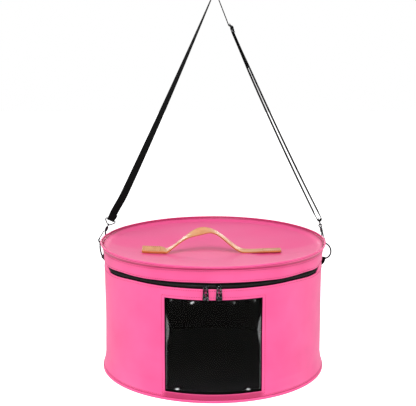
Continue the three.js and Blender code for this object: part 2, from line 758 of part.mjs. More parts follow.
// The strap: folded and sewn round the left hook's bar, up over the crown, down through the adjuster,
// round the right hook's bar and back up round the adjuster's middle bar, with its end sewn between the plies.
function makeStrap(left, right) {
  const up = new THREE.Vector3(0, crown.y - right.bar.y, crown.z - right.bar.z).normalize();
  const across = new THREE.Vector3(1, 0, 0).cross(up);
  const heart = crown.clone().addScaledVector(up, -crownRadius);
  const onPlane = (p) => heart.clone().add(new THREE.Vector3(p.x, 0, 0)).addScaledVector(up, p.y);
  const bend = crownRadius + strapThickness / 2;
  const foldRadius = loopWire + clearance + strapThickness / 2;
  const path = [];
  const put = (at, width) => path.push({ at, across: width });

  // The left run turns slowly from facing the front at its hook to edge-on at the crown
  const aside = heart.x - left.bar.x;
  const lift = heart.z - left.bar.z;
  const leanLeft = Math.atan2(aside, lift + 4 * leftSag) - Math.asin(bend / Math.hypot(aside, lift));
  const leave = new THREE.Vector2(-bend * Math.cos(leanLeft), bend * Math.sin(leanLeft));
  const rise = onPlane(leave).sub(left.bar);
  const leftLength = rise.length();
  rise.normalize();
  const leftAcross = left.across.clone().negate();
  const outer = new THREE.Vector3().crossVectors(rise, leftAcross).normalize();
  const onLeft = (height, out) => left.bar.clone().addScaledVector(rise, height).addScaledVector(outer, out);
  const plyHalf = (height) => {
    const closing = THREE.MathUtils.smoothstep(height, 1.5, 14);
    return THREE.MathUtils.lerp(foldRadius, plyStep / 2 + 0.1, closing);
  };
  for (const height of [foldLength, 20, 14, 10, 6.5, 3.5, 1.2]) put(onLeft(height, -plyHalf(height)), leftAcross);
  for (let i = 0; i <= 8; i += 1) {
    const angle = (Math.PI * i) / 8;
    put(onLeft(-foldRadius * Math.sin(angle), -foldRadius * Math.cos(angle)), leftAcross);
  }
  for (const height of [1.2, 3.5, 6.5, 10, 14, 20, foldLength]) put(onLeft(height, plyHalf(height)), leftAcross);
  const leftSteps = 20;
  for (let i = 1; i < leftSteps; i += 1) {
    const height = THREE.MathUtils.lerp(foldLength, leftLength, i / leftSteps);
    const share = height / leftLength;
    const settle = 1 - THREE.MathUtils.smoothstep(height, foldLength, foldLength + settleLength);
    const at = onLeft(height, plyHalf(height) * settle);
    const beyond = (height - foldLength) / (leftLength - foldLength);
    at.z -= 4 * leftSag * beyond * (1 - beyond);
    put(at, turnedPart(leftAcross, across, rise, beyond * share ** 0.2));
  }

  // The right run lies in one plane, over wheels: the crown, the adjuster's bars and the hook's bar
  const slope = rad(adjusterLean);
  const down = new THREE.Vector2(Math.sin(slope), -Math.cos(slope));
  const face = new THREE.Vector2(Math.cos(slope), Math.sin(slope));
  const middle = new THREE.Vector2(adjusterAside, -adjusterDrop);
  const pitch = adjusterLength / 2 - adjusterBar;
  const upperBar = middle.clone().addScaledVector(down, -pitch);
  const lowerBar = middle.clone().addScaledVector(down, pitch);
  const middleBar = middle.clone().addScaledVector(face, -adjusterDish);
  const fromHeart = right.bar.clone().sub(heart);
  const barAt = new THREE.Vector2(fromHeart.x, fromHeart.dot(up) + tearRadius - foldRadius);
  const near = adjusterBar + clearance + strapThickness / 2;
  const long = { steps: 11, sag: rightSag };
  const wheels = [
    { at: new THREE.Vector2(0, 0), radius: bend, turn: -1, steps: 4 },
    { at: upperBar, radius: near, turn: 1 },
    { at: middleBar, radius: near + plyStep, turn: -1 },
    { at: lowerBar, radius: near, turn: 1, ...long },
    { at: barAt, radius: tearRadius, turn: -1, ...long },
    { at: lowerBar, radius: near + 2 * plyStep, turn: -1 },
    { at: middleBar, radius: near, turn: -1 },
    { at: lowerBar, radius: near + plyStep, turn: 1, steps: 3, sag: rightSag, until: tailShare },
    { at: barAt, radius: tearRadius - plyStep, turn: -1 },
  ];
  const leaveRight = touching(wheels[0], wheels[1]) + Math.PI / 2;
  const crownSteps = 10;
  for (let i = 0; i <= crownSteps; i += 1) {
    const angle = THREE.MathUtils.lerp(Math.PI - leanLeft, leaveRight, i / crownSteps);
    put(onPlane(new THREE.Vector2(bend * Math.cos(angle), bend * Math.sin(angle))), across);
  }
  const rightAcross = right.across.clone().multiplyScalar(Math.sign(right.across.dot(across)));
  const runDown = right.bar.clone().sub(onPlane(lowerBar)).normalize();
  for (const point of beltPath(wheels)) {
    const low = 1 - THREE.MathUtils.smoothstep(point.y, barAt.y + 10, barAt.y + 10 + twistLength);
    put(onPlane(point), turnedPart(across, rightAcross, runDown, low));
  }
  const stations = path.map((station, i) => {
    const next = path[Math.min(i + 1, path.length - 1)].at;
    const before = path[Math.max(i - 1, 0)].at;
    return {
      ...station,
      along: next.clone().sub(before).normalize(),
      width: strapWidth,
      thickness: strapThickness,
    };
  });
  add(box, 'shoulder_strap', bandAlong(stations), 'webbing');

  // The adjuster: three bars between two side rails, in the same plane
  const railInside = strapWidth / 2 + 2 * clearance;
  const bars = [upperBar, middleBar, lowerBar].map((at) => {
    const bar = new THREE.CylinderGeometry(adjusterBar, adjusterBar, 2 * railInside + 1, 8);
    return solidOf(bar.rotateX(Math.PI / 2).translate(at.x, at.y, 0));
  });
  const corner = (u, v) => middle.clone().addScaledVector(down, u).addScaledVector(face, v);
  const rail = new THREE.Shape([
    corner(-pitch - adjusterBar, -adjusterBar),
    corner(-1.8, -adjusterDish - adjusterBar),
    corner(1.8, -adjusterDish - adjusterBar),
    corner(pitch + adjusterBar, -adjusterBar),
    corner(pitch + adjusterBar, adjusterBar),
    corner(-pitch - adjusterBar, adjusterBar),
  ]);
  const rails = [railInside, -railInside - adjusterRail].map((z) => {
    const block = new THREE.ExtrudeGeometry(rail, { depth: adjusterRail, bevelEnabled: false });
    return solidOf(block.translate(0, 0, z));
  });
  const whole = [...bars, ...rails].reduce((sum, solid) => sum.add(solid));
  const basis = new THREE.Matrix4().makeBasis(new THREE.Vector3(1, 0, 0), up, across);
  basis.setPosition(heart);
  add(box, 'strap_adjuster', geometryOf(whole).applyMatrix4(basis), 'metal');
}

makeDrum();
makeZip();
makeLid();
makeHandle();
const hangersMade = Object.fromEntries(
  Object.entries(hangers).map(([side, hanger]) => [side, makeHanger(side, hanger)]),
);
makeStrap(hangersMade.left, hangersMade.right);

const part = new THREE.Group();
box.position.copy(crown).negate();
part.add(box);

export default part;
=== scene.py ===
"""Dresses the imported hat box: surfaces from numpy, procedural finishes, a plain studio and the camera.

Sizes are millimetres in the drum's own frame, whose origin is the middle of the base. The part's origin is
the underside of the strap's crown, so every mesh is moved there and turned to metres when it is made.
"""

import logging
import math
from dataclasses import dataclass, field
from enum import Enum

import bmesh
import bpy
import numpy as np
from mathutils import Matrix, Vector


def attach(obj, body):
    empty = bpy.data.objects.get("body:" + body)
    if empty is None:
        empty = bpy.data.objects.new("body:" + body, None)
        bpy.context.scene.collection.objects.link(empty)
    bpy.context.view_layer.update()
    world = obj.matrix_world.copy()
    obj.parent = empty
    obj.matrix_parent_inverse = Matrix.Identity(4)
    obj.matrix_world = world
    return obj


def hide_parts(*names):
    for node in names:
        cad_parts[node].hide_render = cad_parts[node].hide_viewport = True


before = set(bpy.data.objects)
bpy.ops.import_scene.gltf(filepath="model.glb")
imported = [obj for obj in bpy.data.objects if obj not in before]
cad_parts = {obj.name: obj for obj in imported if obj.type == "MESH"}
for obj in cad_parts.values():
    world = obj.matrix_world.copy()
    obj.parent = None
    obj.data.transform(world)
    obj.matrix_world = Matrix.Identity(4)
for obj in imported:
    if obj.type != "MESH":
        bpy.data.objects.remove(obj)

log = logging.getLogger("hat_box")
METRES = 0.001
CROWN = np.array([3.0, 0.0, 709.6])
WHOLE_TURN = np.linspace(0, 2 * np.pi, 361)
Array = np.ndarray
Tree = bpy.types.NodeTree
Node = bpy.types.Node
Socket = bpy.types.NodeSocket
Piece = bpy.types.Object


# Plain vector sums


def unit(vectors: Array) -> Array:
    """Vectors of length one, along the last axis."""
    return vectors / np.linalg.norm(vectors, axis=-1, keepdims=True)


def turned_about(vectors: Array, axis: Array, angle: Array) -> Array:
    """Turns vectors about a unit axis by an angle in radians, by Rodrigues' sum.

    Args:
        vectors: one vector or a row of them.
        axis: the unit axis.
        angle: one angle, or one for each vector.

    Returns:
        The turned vectors.
    """
    angle = np.asarray(angle)[..., None]
    cross = np.cross(axis, vectors)
    along = np.sum(axis * vectors, axis=-1, keepdims=True) * axis
    return vectors * np.cos(angle) + cross * np.sin(angle) + along * (1 - np.cos(angle))


def smoothstep(values: Array, low: float, high: float) -> Array:
    """Zero below low, one above high, and three t squared less two t cubed between."""
    t = np.clip((np.asarray(values, dtype=float) - low) / (high - low), 0, 1)
    return t * t * (3 - 2 * t)


def signed(angle: Array) -> Array:
    """The same angle between minus pi and pi."""
    return (np.asarray(angle) + np.pi) % (2 * np.pi) - np.pi


def at_back(angle: Array) -> Array:
    """A smooth step of the angle from the front: 0 along the zip, 1 at the back."""
    return smoothstep(np.abs(signed(angle)), 1.45, 1.8)


def zip_dip(angle: Array) -> Array:
    """How far the drum's upper edge dips, 4.6 mm towards the zip's ends: a product of two smooth steps."""
    return -4.6 * smoothstep(np.abs(signed(angle)), 0.72, 1.15) * (1 - at_back(angle))


def bell(values: Array, middle: float | Array, width: float) -> Array:
    """A bell, e to the power of minus the square of the distance from its middle in widths."""
    return np.exp(-(((values - middle) / width) ** 2))


def around(count: int) -> Array:
    """Angles an even step apart round a whole turn, without the last, which is the first again."""
    return np.linspace(0, 2 * np.pi, count, endpoint=False)


def lengths_along(points: Array) -> Array:
    """The running length of a line of points."""
    steps = np.linalg.norm(np.diff(points, axis=0), axis=1)
    return np.concatenate([[0.0], np.cumsum(steps)])


def read_at(at: Array, run: Array, values: Array) -> Array:
    """Rows of values read off at running lengths, in a straight line between two rows."""
    return np.stack([np.interp(at, run, column) for column in values.T], axis=1)


def evenly(points: Array, step: float) -> Array:
    """The same line with points an even step apart."""
    run = lengths_along(points)
    count = max(int(round(run[-1] / step)), 2)
    return read_at(np.linspace(0, run[-1], count + 1), run, points)


def smooth_line(points: Array, steps: int, closed: bool = False, tension: float = 0.5) -> Array:
    """A smooth line through points: cubic pieces whose slope at a point follows its two neighbours.

    Args:
        points: the points that the line passes through.
        steps: how many points each piece gets.
        closed: whether the last point joins the first.
        tension: how much of the neighbours' difference the slope takes.

    Returns:
        The line's points, without a repeated last point where it is closed.
    """
    if closed:
        before, start, end, after = (np.roll(points, -shift, 0) for shift in range(4))
    else:
        padded = np.concatenate([[2 * points[0] - points[1]], points, [2 * points[-1] - points[-2]]])
        before, start, end, after = padded[:-3], padded[1:-2], padded[2:-1], padded[3:]
    t = np.linspace(0, 1, steps, endpoint=False)[None, :, None]
    slope_start = tension * (end - before)[:, None, :]
    slope_end = tension * (after - start)[:, None, :]
    p, q = start[:, None, :], end[:, None, :]
    line = (
        p * (2 * t**3 - 3 * t**2 + 1)
        + slope_start * (t**3 - 2 * t**2 + t)
        + q * (3 * t**2 - 2 * t**3)
        + slope_end * (t**3 - t**2)
    ).reshape(-1, points.shape[1])
    return line if closed else np.concatenate([line, points[-1:]])


def fillet(corners: Array, radius: float, steps: int = 4) -> Array:
    """A closed outline with its corners rounded.

    Each corner becomes a quadratic curve that leaves both edges a radius away from it, or at 45 hundredths
    of a short edge.

    Args:
        corners: the outline's corners in order.
        radius: how far from a corner the rounding starts.
        steps: how many points a corner gets.

    Returns:
        The rounded outline.
    """
    before = np.roll(corners, 1, 0) - corners
    after = np.roll(corners, -1, 0) - corners
    reach_before = np.minimum(radius, 0.45 * np.linalg.norm(before, axis=1, keepdims=True))
    reach_after = np.minimum(radius, 0.45 * np.linalg.norm(after, axis=1, keepdims=True))
    start = (corners + unit(before) * reach_before)[:, None, :]
    end = (corners + unit(after) * reach_after)[:, None, :]
    t = np.linspace(0, 1, steps)[None, :, None]
    curve = (1 - t) ** 2 * start + 2 * t * (1 - t) * corners[:, None, :] + t**2 * end
    return curve.reshape(-1, corners.shape[1])


def wall_outline(outside: Array, thickness: float, radius: float) -> Array:
    """A wall's closed profile: its outside line and the same line a thickness in, with round edges."""
    inside = outside[::-1] - np.array([thickness, 0.0])
    return fillet(np.concatenate([outside, inside]), radius)


def turned(profile: Array, angles: Array) -> Array:
    """A profile of (radius, height) carried round the drum's axis. Angle 0 is the front, -Y.

    A point is (radius sin angle, -radius cos angle, height).
    """
    radius, height = profile[:, None, 0], profile[:, None, 1]
    angle = angles[None, :]
    return np.stack([radius * np.sin(angle), -radius * np.cos(angle), height + 0 * angle], axis=-1)


def swept(path: Array, across: Array, section: Array, size: Array, closed: bool = False) -> Array:
    """A section carried along a path.

    At each point of the path the section's first coordinate runs along across, made square to the path, and
    its second along the direction that is square to both.

    Args:
        path: the path's points.
        across: the direction of the section's width at each point.
        section: the section's outline, as (width, height) pairs.
        size: what the outline is multiplied by at each point, as (width, height) pairs.
        closed: whether the path's end meets its start.

    Returns:
        A grid of points, one row for each point of the path.
    """
    if closed:
        along = unit(np.roll(path, -1, 0) - np.roll(path, 1, 0))
    else:
        along = unit(np.gradient(path, axis=0))
    up = unit(np.cross(along, across))
    wide = np.cross(up, along)
    outline = section[None, :, :] * size[:, None, :]
    return path[:, None, :] + outline[..., :1] * wide[:, None, :] + outline[..., 1:] * up[:, None, :]


def round_section(sides: int) -> Array:
    """The outline of a round wire of radius one."""
    angle = around(sides)
    return np.stack([np.cos(angle), np.sin(angle)], axis=1)


def wire(path: Array, across: Array, radius: float | Array, sides: int, closed: bool = False) -> Array:
    """A round wire along a path: a circle of the radius, one or one for each point, carried along it.

    Args:
        path: the path's points.
        across: a direction that is nowhere along the path, for the circle's first corner.
        radius: the wire's radius.
        sides: how many corners the circle has.
        closed: whether the path's end meets its start.

    Returns:
        A grid of points, one row for each point of the path.
    """
    size = np.repeat(np.broadcast_to(radius, len(path))[:, None], 2, axis=1)
    return swept(path, np.tile(across, (len(path), 1)), round_section(sides), size, closed)


def flat_section(round_share: float, steps: int = 4, cuts: int = 4) -> Array:
    """The outline of a flat band of width and height one, with rounded edges and cuts along its faces."""
    half = 0.5
    line = np.linspace(half - round_share, round_share - half, cuts)
    angle = np.linspace(0, np.pi, steps + 2)[1:-1]
    top = np.stack([line, np.full(cuts, half)], axis=1)
    left = np.stack([round_share - half - round_share * np.sin(angle), half * np.cos(angle)], axis=1)
    return np.concatenate([top, left, -top, -left])


class Surface:
    """Grids of points and repeated small shapes that are joined into one mesh."""

    def __init__(self) -> None:
        """Starts with nothing in it."""
        self.points: list[Array] = []
        self.faces: list[Array] = []
        self.corners: list[Array] = []
        self.tones: list[Array] = []
        self.count = 0

    def grid(
        self,
        points: Array,
        wrap_rows: bool = False,
        wrap_columns: bool = False,
        keep: Array | None = None,
        tone: Array | None = None,
    ) -> "Surface":
        """Adds a grid of points with a face in each of its cells.

        The UV map holds metres: the length along a middle row, and the length along the first column.

        Args:
            points: rows by columns by 3, in millimetres.
            wrap_rows: whether the last row joins the first.
            wrap_columns: whether the last column joins the first.
            keep: which cells get a face; all where it is left out.
            tone: a number from 0 to 1 for each point, kept as the attribute "tone".

        Returns:
            The surface itself.
        """
        rows, columns = points.shape[:2]
        row, column = np.meshgrid(
            np.arange(rows if wrap_rows else rows - 1),
            np.arange(columns if wrap_columns else columns - 1),
            indexing="ij",
        )
        if keep is None:
            row, column = row.ravel(), column.ravel()
        else:
            row, column = row[keep], column[keep]
        next_row, next_column = (row + 1) % rows, (column + 1) % columns
        quads = np.stack(
            [
                row * columns + column,
                row * columns + next_column,
                next_row * columns + next_column,
                next_row * columns + column,
            ],
            axis=1,
        )
        middle = points[rows // 2]
        u = lengths_along(np.concatenate([middle, middle[:1]])) * METRES
        v = lengths_along(np.concatenate([points[:, 0], points[:1, 0]])) * METRES
        uv = np.stack(
            [
                np.stack([u[column], v[row]], -1),
                np.stack([u[column + 1], v[row]], -1),
                np.stack([u[column + 1], v[row + 1]], -1),
                np.stack([u[column], v[row + 1]], -1),
            ],
            axis=1,
        )
        self.points.append(points.reshape(-1, 3))
        self.faces.append(quads + self.count)
        self.corners.append(uv.reshape(-1, 2))
        self.tones.append(np.broadcast_to(0.0 if tone is None else tone, (rows, columns)).ravel())
        self.count += rows * columns
        return self

    def tube(self, rows: Array, closed: bool = False, tone: Array | None = None) -> "Surface":
        """Adds a swept grid. An open one has each end drawn together in its middle, so that it is closed."""
        if not closed:
            middles = (end.mean(axis=1, keepdims=True) for end in (rows[:1], rows[-1:]))
            first, last = (np.broadcast_to(middle, (1, *rows.shape[1:])) for middle in middles)
            rows = np.concatenate([first, rows, last])
            if tone is not None:
                tone = np.broadcast_to(tone, (rows.shape[0] - 2, rows.shape[1]))
                tone = np.concatenate([tone[:1], tone, tone[-1:]])
        return self.grid(rows, wrap_rows=closed, wrap_columns=True, tone=tone)

    def copies(self, shape: Array, quads: Array, places: Array, frames: Array) -> "Surface":
        """Adds a small shape many times.

        Args:
            shape: the shape's points.
            quads: its faces.
            places: where each copy goes.
            frames: for each copy, the three directions that the shape's X, Y and Z take.

        Returns:
            The surface itself.
        """
        moved = places[:, None, :] + np.einsum("pk,nkd->npd", shape, frames)
        shift = self.count + np.arange(len(places))[:, None, None] * len(shape)
        faces = (quads[None] + shift).reshape(-1, 4)
        self.points.append(moved.reshape(-1, 3))
        self.faces.append(faces)
        self.corners.append(np.zeros((faces.size, 2)))
        self.tones.append(np.zeros(moved[..., 0].size))
        self.count += moved[..., 0].size
        return self

    def make(self, name: str, closed: bool = True) -> Piece:
        """Makes the Blender object.

        Args:
            name: the object's name.
            closed: whether the mesh is a closed shell. Its doubles are merged and its faces turned out.

        Returns:
            The object, in metres in the part's frame.
        """
        points = (np.concatenate(self.points) - CROWN) * METRES
        faces = np.concatenate(self.faces)
        mesh = bpy.data.meshes.new(name)
        mesh.vertices.add(len(points))
        mesh.vertices.foreach_set("co", points.ravel())
        mesh.loops.add(faces.size)
        mesh.loops.foreach_set("vertex_index", faces.ravel())
        mesh.polygons.add(len(faces))
        mesh.polygons.foreach_set("loop_start", np.arange(len(faces)) * 4)
        mesh.polygons.foreach_set("loop_total", np.full(len(faces), 4))
        mesh.update(calc_edges=True)
        mesh.uv_layers.new(name="UVMap").data.foreach_set("uv", np.concatenate(self.corners).ravel())
        mesh.attributes.new("tone", "FLOAT", "POINT").data.foreach_set("value", np.concatenate(self.tones))
        mesh.validate()
        if closed:
            shell = bmesh.new()
            shell.from_mesh(mesh)
            bmesh.ops.remove_doubles(shell, verts=shell.verts, dist=1e-7)
            bmesh.ops.recalc_face_normals(shell, faces=shell.faces)
            shell.to_mesh(mesh)
            shell.free()
        mesh.shade_smooth()
        made = bpy.data.objects.new(name, mesh)
        bpy.context.scene.collection.objects.link(made)
        return made


def bead(sides: int = 6, rings: int = 5) -> tuple[Array, Array]:
    """A long bead of half length one and radius one: its radius is the root of 1 - s to the fourth.

    Args:
        sides: how many points go round it.
        rings: how many rings it has.

    Returns:
        Its points and its faces.
    """
    s = np.linspace(-1, 1, rings)
    radius = np.sqrt(1 - s**4)
    circle = radius[:, None, None] * round_section(sides)
    points = np.concatenate([np.broadcast_to(s[:, None, None], (rings, sides, 1)), circle], axis=-1)
    row, column = np.meshgrid(np.arange(rings - 1) * sides, np.arange(sides), indexing="ij")
    row, column = row.ravel(), column.ravel()
    after = (column + 1) % sides
    quads = np.stack([row + column, row + after, row + sides + after, row + sides + column], axis=1)
    return points.reshape(-1, 3), quads


@dataclass(frozen=True)
class Stitching:
    """A row of lockstitches: pitch, and each stitch's length and half thickness, in millimetres."""

    pitch: float = 4.2
    length: float = 3.1
    radius: float = 0.42

    def sew(self, surface: Surface, line: Array, out: Array) -> None:
        """Sews stitches along a line.

        Args:
            surface: what the stitches are added to.
            line: the points of the line that the stitches' middles lie on.
            out: the direction out of the cloth at each point.
        """
        run = lengths_along(line)
        count = max(int(run[-1] / self.pitch), 1)
        at = (np.arange(count) + 0.5) * run[-1] / count
        along = unit(read_at(at + 0.5, run, line) - read_at(at - 0.5, run, line))
        side = unit(np.cross(read_at(at, run, out), along))
        above = np.cross(along, side)
        frames = np.stack([along * self.length / 2, side * self.radius, above * self.radius], axis=1)
        surface.copies(*bead(), read_at(at, run, line), frames)


# Finishes


def linear(colour: int) -> tuple[float, float, float, float]:
    """An sRGB hex value as linear red, green, blue and alpha."""
    parts = np.array([(colour >> shift) & 255 for shift in (16, 8, 0)]) / 255
    low = parts / 12.92
    high = ((parts + 0.055) / 1.055) ** 2.4
    return (*np.where(parts <= 0.04045, low, high).tolist(), 1.0)


def add_node(tree: Tree, kind: str, settings: dict | None = None, **inputs: object) -> Node:
    """Adds a node to a tree.

    Args:
        tree: the tree.
        kind: the node's type.
        settings: its own properties by name.
        **inputs: its sockets by name with underscores for spaces, or by number as s0, s1 and so on; each a
            value or the socket to link from.

    Returns:
        The node.
    """
    node = tree.nodes.new(kind)
    for name, value in (settings or {}).items():
        setattr(node, name, value)
    for name, value in inputs.items():
        numbered = name[0] == "s" and name[1:].isdigit()
        socket = node.inputs[int(name[1:])] if numbered else node.inputs[name.replace("_", " ")]
        if isinstance(value, Socket):
            tree.links.new(value, socket)
        else:
            socket.default_value = value
    return node


@dataclass(frozen=True)
class Finish:
    """A procedural material. Sizes of patterns are millimetres, colours are sRGB hex values."""

    name: str
    slot: str
    colour: int
    roughness: float = 0.5
    metallic: float = 0.0
    specular: float = 0.5

    def material(self) -> bpy.types.Material:
        """The material, made once and then found by name."""
        found = bpy.data.materials.get(self.name)
        if found:
            return found
        made = bpy.data.materials.new(self.name)
        made.use_nodes = True
        tree = made.node_tree
        shader = tree.nodes["Principled BSDF"]
        shader.inputs["Base Color"].default_value = linear(self.colour)
        shader.inputs["Roughness"].default_value = self.roughness
        shader.inputs["Metallic"].default_value = self.metallic
        shader.inputs["Specular IOR Level"].default_value = self.specular
        made.diffuse_color = linear(self.colour)
        self.detail(tree, shader)
        return made

    def detail(self, tree: Tree, shader: Node) -> None:
        """Adds what sets this finish apart. A plain one adds nothing."""

    @staticmethod
    def place(tree: Tree, socket: str = "Object") -> Socket:
        """The coordinates that the patterns follow."""
        return add_node(tree, "ShaderNodeTexCoord").outputs[socket]

    @staticmethod
    def tone(tree: Tree) -> Socket:
        """The mesh's own attribute "tone", from 0 to 1."""
        return add_node(tree, "ShaderNodeAttribute", {"attribute_name": "tone"}).outputs["Fac"]

    @staticmethod
    def noise(tree: Tree, at: Socket, size: float, detail: float) -> Socket:
        """Noise whose lumps are about size millimetres apart."""
        made = add_node(tree, "ShaderNodeTexNoise", Vector=at, Scale=1 / (size * METRES), Detail=detail)
        return made.outputs["Fac"]

    @staticmethod
    def between(tree: Tree, value: Socket, low: float, high: float) -> Socket:
        """A value from 0 to 1 spread over the stretch from low to high."""
        return add_node(tree, "ShaderNodeMapRange", Value=value, To_Min=low, To_Max=high).outputs[0]

    @staticmethod
    def mixed(tree: Tree, share: Socket, first: int | Socket, second: int) -> Socket:
        """Two colours mixed by a share. The first is a hex value or comes from another mix."""
        first = first if isinstance(first, Socket) else linear(first)
        mix = add_node(tree, "ShaderNodeMix", {"data_type": "RGBA"}, s0=share, s6=first, s7=linear(second))
        return mix.outputs[2]

    def mottled(self, tree: Tree, value: Socket, first: int, second: int, low: float, high: float) -> Socket:
        """Two colours mixed as a value goes from low to high."""
        share = add_node(tree, "ShaderNodeMapRange", Value=value, From_Min=low, From_Max=high)
        return self.mixed(tree, share.outputs[0], first, second)

    @staticmethod
    def bump(
        tree: Tree, shader: Node, height: Socket, depth: float, strength: float, under: Socket | None = None
    ) -> Socket:
        """Raises the surface by depth millimetres where height is 1, on top of another bump if it has one."""
        node = add_node(tree, "ShaderNodeBump", Height=height, Distance=depth * METRES, Strength=strength)
        if under is not None:
            tree.links.new(under, node.inputs["Normal"])
        tree.links.new(node.outputs[0], shader.inputs["Normal"])
        return node.outputs[0]


@dataclass(frozen=True)
class CoatedLeather(Finish):
    """Polyurethane-coated leathercloth, embossed: a satin skin with a fine pebbled grain and slow waves."""

    grain: float = 2.2
    shade: int = 0xF04F8F
    # seam: the deeper pink of painted shade, for creases, grooves and recesses
    seam: int = 0xB81E5C

    def detail(self, tree: Tree, shader: Node) -> None:
        """Pebbles from cell distances, drawn at over twice their real 0.9 mm so that they show, slow
        mottling, and a deeper pink, painted shade in creases and recesses, where the attribute "tone" is 1."""
        at = self.place(tree)
        slow = self.noise(tree, at, 60, 2)
        skin = self.mottled(tree, slow, self.shade, self.colour, 0.3, 0.7)
        # The tone mixes in the seam colour: painted shade.
        tree.links.new(self.mixed(tree, self.tone(tree), skin, self.seam), shader.inputs["Base Color"])
        smooth = {"feature": "SMOOTH_F1"}
        cells = add_node(tree, "ShaderNodeTexVoronoi", smooth, Vector=at, Scale=1 / (self.grain * METRES))
        fine = self.noise(tree, at, 0.9, 2)
        first = self.bump(tree, shader, cells.outputs["Distance"], 0.12, 0.5)
        second = self.bump(tree, shader, fine, 0.05, 0.4, first)
        self.bump(tree, shader, self.noise(tree, at, 34, 1), 0.5, 0.6, second)
        sheen = self.between(tree, fine, self.roughness - 0.05, self.roughness + 0.06)
        tree.links.new(sheen, shader.inputs["Roughness"])


class Weave(Enum):
    """How a cloth's threads cross: plain, or in slanted ribs."""

    PLAIN = "plain"
    TWILL = "twill"


@dataclass(frozen=True)
class Cloth(Finish):
    """Woven synthetic cloth on the piece's UV map, with threads that stand up and catch the light."""

    thread: float = 1.0
    depth: float = 0.12
    weave: Weave = Weave.PLAIN
    light: int = 0x2A2A2A

    def detail(self, tree: Tree, shader: Node) -> None:
        """Two sets of bands multiplied for a plain weave, or bands on the slant for a twill.

        Half a period of a wave texture is pi twentieths of its unit, and the scale makes that one thread.
        """
        at = self.place(tree, "UV")
        scale = math.pi / (20 * self.thread * METRES)

        def bands(direction: str) -> Socket:
            """Bands one thread wide in a direction."""
            settings = {"bands_direction": direction}
            return add_node(tree, "ShaderNodeTexWave", settings, Vector=at, Scale=scale).outputs["Fac"]

        if self.weave is Weave.PLAIN:
            times = {"operation": "MULTIPLY"}
            height = add_node(tree, "ShaderNodeMath", times, s0=bands("X"), s1=bands("Y")).outputs[0]
        else:
            height = bands("DIAGONAL")
        # The raised threads get the lighter colour: a painted highlight where they catch the light.
        tree.links.new(self.mixed(tree, height, self.colour, self.light), shader.inputs["Base Color"])
        first = self.bump(tree, shader, height, self.depth, 0.8)
        self.bump(tree, shader, self.noise(tree, at, 0.4, 2), 0.04, 0.4, first)


@dataclass(frozen=True)
class TanLeather(Finish):
    """Vegetable-tanned leather, dyed through and burnished: fine pores, a soft gloss and dark edges."""

    edge: int = 0xBC6C30
    light: int = 0xDFA678

    def detail(self, tree: Tree, shader: Node) -> None:
        """Mottled tan on the faces, and the burnished brown where the attribute "tone" is 1."""
        at = self.place(tree)
        slow = self.noise(tree, at, 16, 3)
        face = self.mottled(tree, slow, self.colour, self.light, 0.3, 0.7)
        tree.links.new(self.mixed(tree, self.tone(tree), face, self.edge), shader.inputs["Base Color"])
        first = self.bump(tree, shader, self.noise(tree, at, 0.8, 3), 0.06, 0.6)
        self.bump(tree, shader, slow, 0.3, 0.5, first)


@dataclass(frozen=True)
class PlatedMetal(Finish):
    """Zinc alloy plated with black nickel and tumbled: a dark mirror with faint waves and bright spots."""

    light: int = 0xB4B6BA

    def detail(self, tree: Tree, shader: Node) -> None:
        """Slow waves in the casting, an uneven polish, and small spots where the plating is rubbed bright."""
        at = self.place(tree)
        waves = self.noise(tree, at, 3, 2)
        polish = self.between(tree, waves, self.roughness * 0.7, self.roughness * 1.5)
        tree.links.new(polish, shader.inputs["Roughness"])
        pits = self.noise(tree, at, 1.6, 1)
        worn = self.mottled(tree, pits, self.colour, self.light, 0.61, 0.67)
        tree.links.new(worn, shader.inputs["Base Color"])
        first = self.bump(tree, shader, pits, 0.22, 0.5)
        self.bump(tree, shader, waves, 0.12, 0.4, first)


@dataclass(frozen=True)
class ClearFilm(Finish):
    """Clear soft PVC sheet, calendered: see-through and glossy, and white where the attribute "tone" is 1,
    which paints glare and glints on it.

    Real PVC has an IOR near 1.52. This one is lower, because the photo's film hardly mirrors anything.
    """

    ior: float = 1.13

    def detail(self, tree: Tree, shader: Node) -> None:
        """Passes the light, with slow ripples, and turns white where the tone paints glare and glints."""
        shader.inputs["IOR"].default_value = self.ior
        self.bump(tree, shader, self.noise(tree, self.place(tree), 28, 1), 0.5, 0.35)
        tone = self.tone(tree)
        # Painted glare and glints: the tone makes the film white, less clear and rougher.
        tree.links.new(self.between(tree, tone, 1.0, 0.35), shader.inputs["Transmission Weight"])
        tree.links.new(self.between(tree, tone, self.roughness, 0.35), shader.inputs["Roughness"])


PINK = CoatedLeather("pink_coated_leathercloth", "pink", 0xFA5A99, roughness=0.4, specular=0.5)
PANEL = CoatedLeather("pink_coated_panel", "pink", 0xEF5090, roughness=0.37, specular=0.68)
LINING = Cloth("black_woven_lining", "lining", 0x0A090B, 0.9, specular=0.2, thread=1.2, light=0x151316)
TAPE = Cloth(
    "woven_zip_tape",
    "tape",
    0x040606,
    0.8,
    specular=0.1,
    thread=1.4,
    depth=0.1,
    weave=Weave.TWILL,
    light=0x0B100E,
)
COIL = Finish("nylon_zip_coil", "coil", 0x070D0B, roughness=0.45, specular=0.3)
BINDING = Cloth("black_binding_tape", "webbing", 0x030303, 0.95, specular=0.1, thread=1.2, light=0x080808)
WEBBING = Cloth(
    "polyester_webbing", "webbing", 0x020202, 0.85, specular=0.12, thread=1.5, depth=0.16, light=0x0A0A0B
)
METAL = PlatedMetal("black_nickel_plating", "metal", 0x1A1B1D, roughness=0.12, metallic=1.0)
TAN = TanLeather("vegetable_tanned_leather", "leather", 0xC98B5C, roughness=0.4)
# The film's colour is the white of its painted glare and glints.
FILM = ClearFilm("clear_pvc_film", "film", 0xF2F4F5, roughness=0.05, specular=0.12)
PINK_THREAD = Finish("pink_polyester_thread", "pink", 0xB52560, roughness=0.6)
TAN_THREAD = Finish("tan_linen_thread", "leather", 0x9C6434, roughness=0.6)


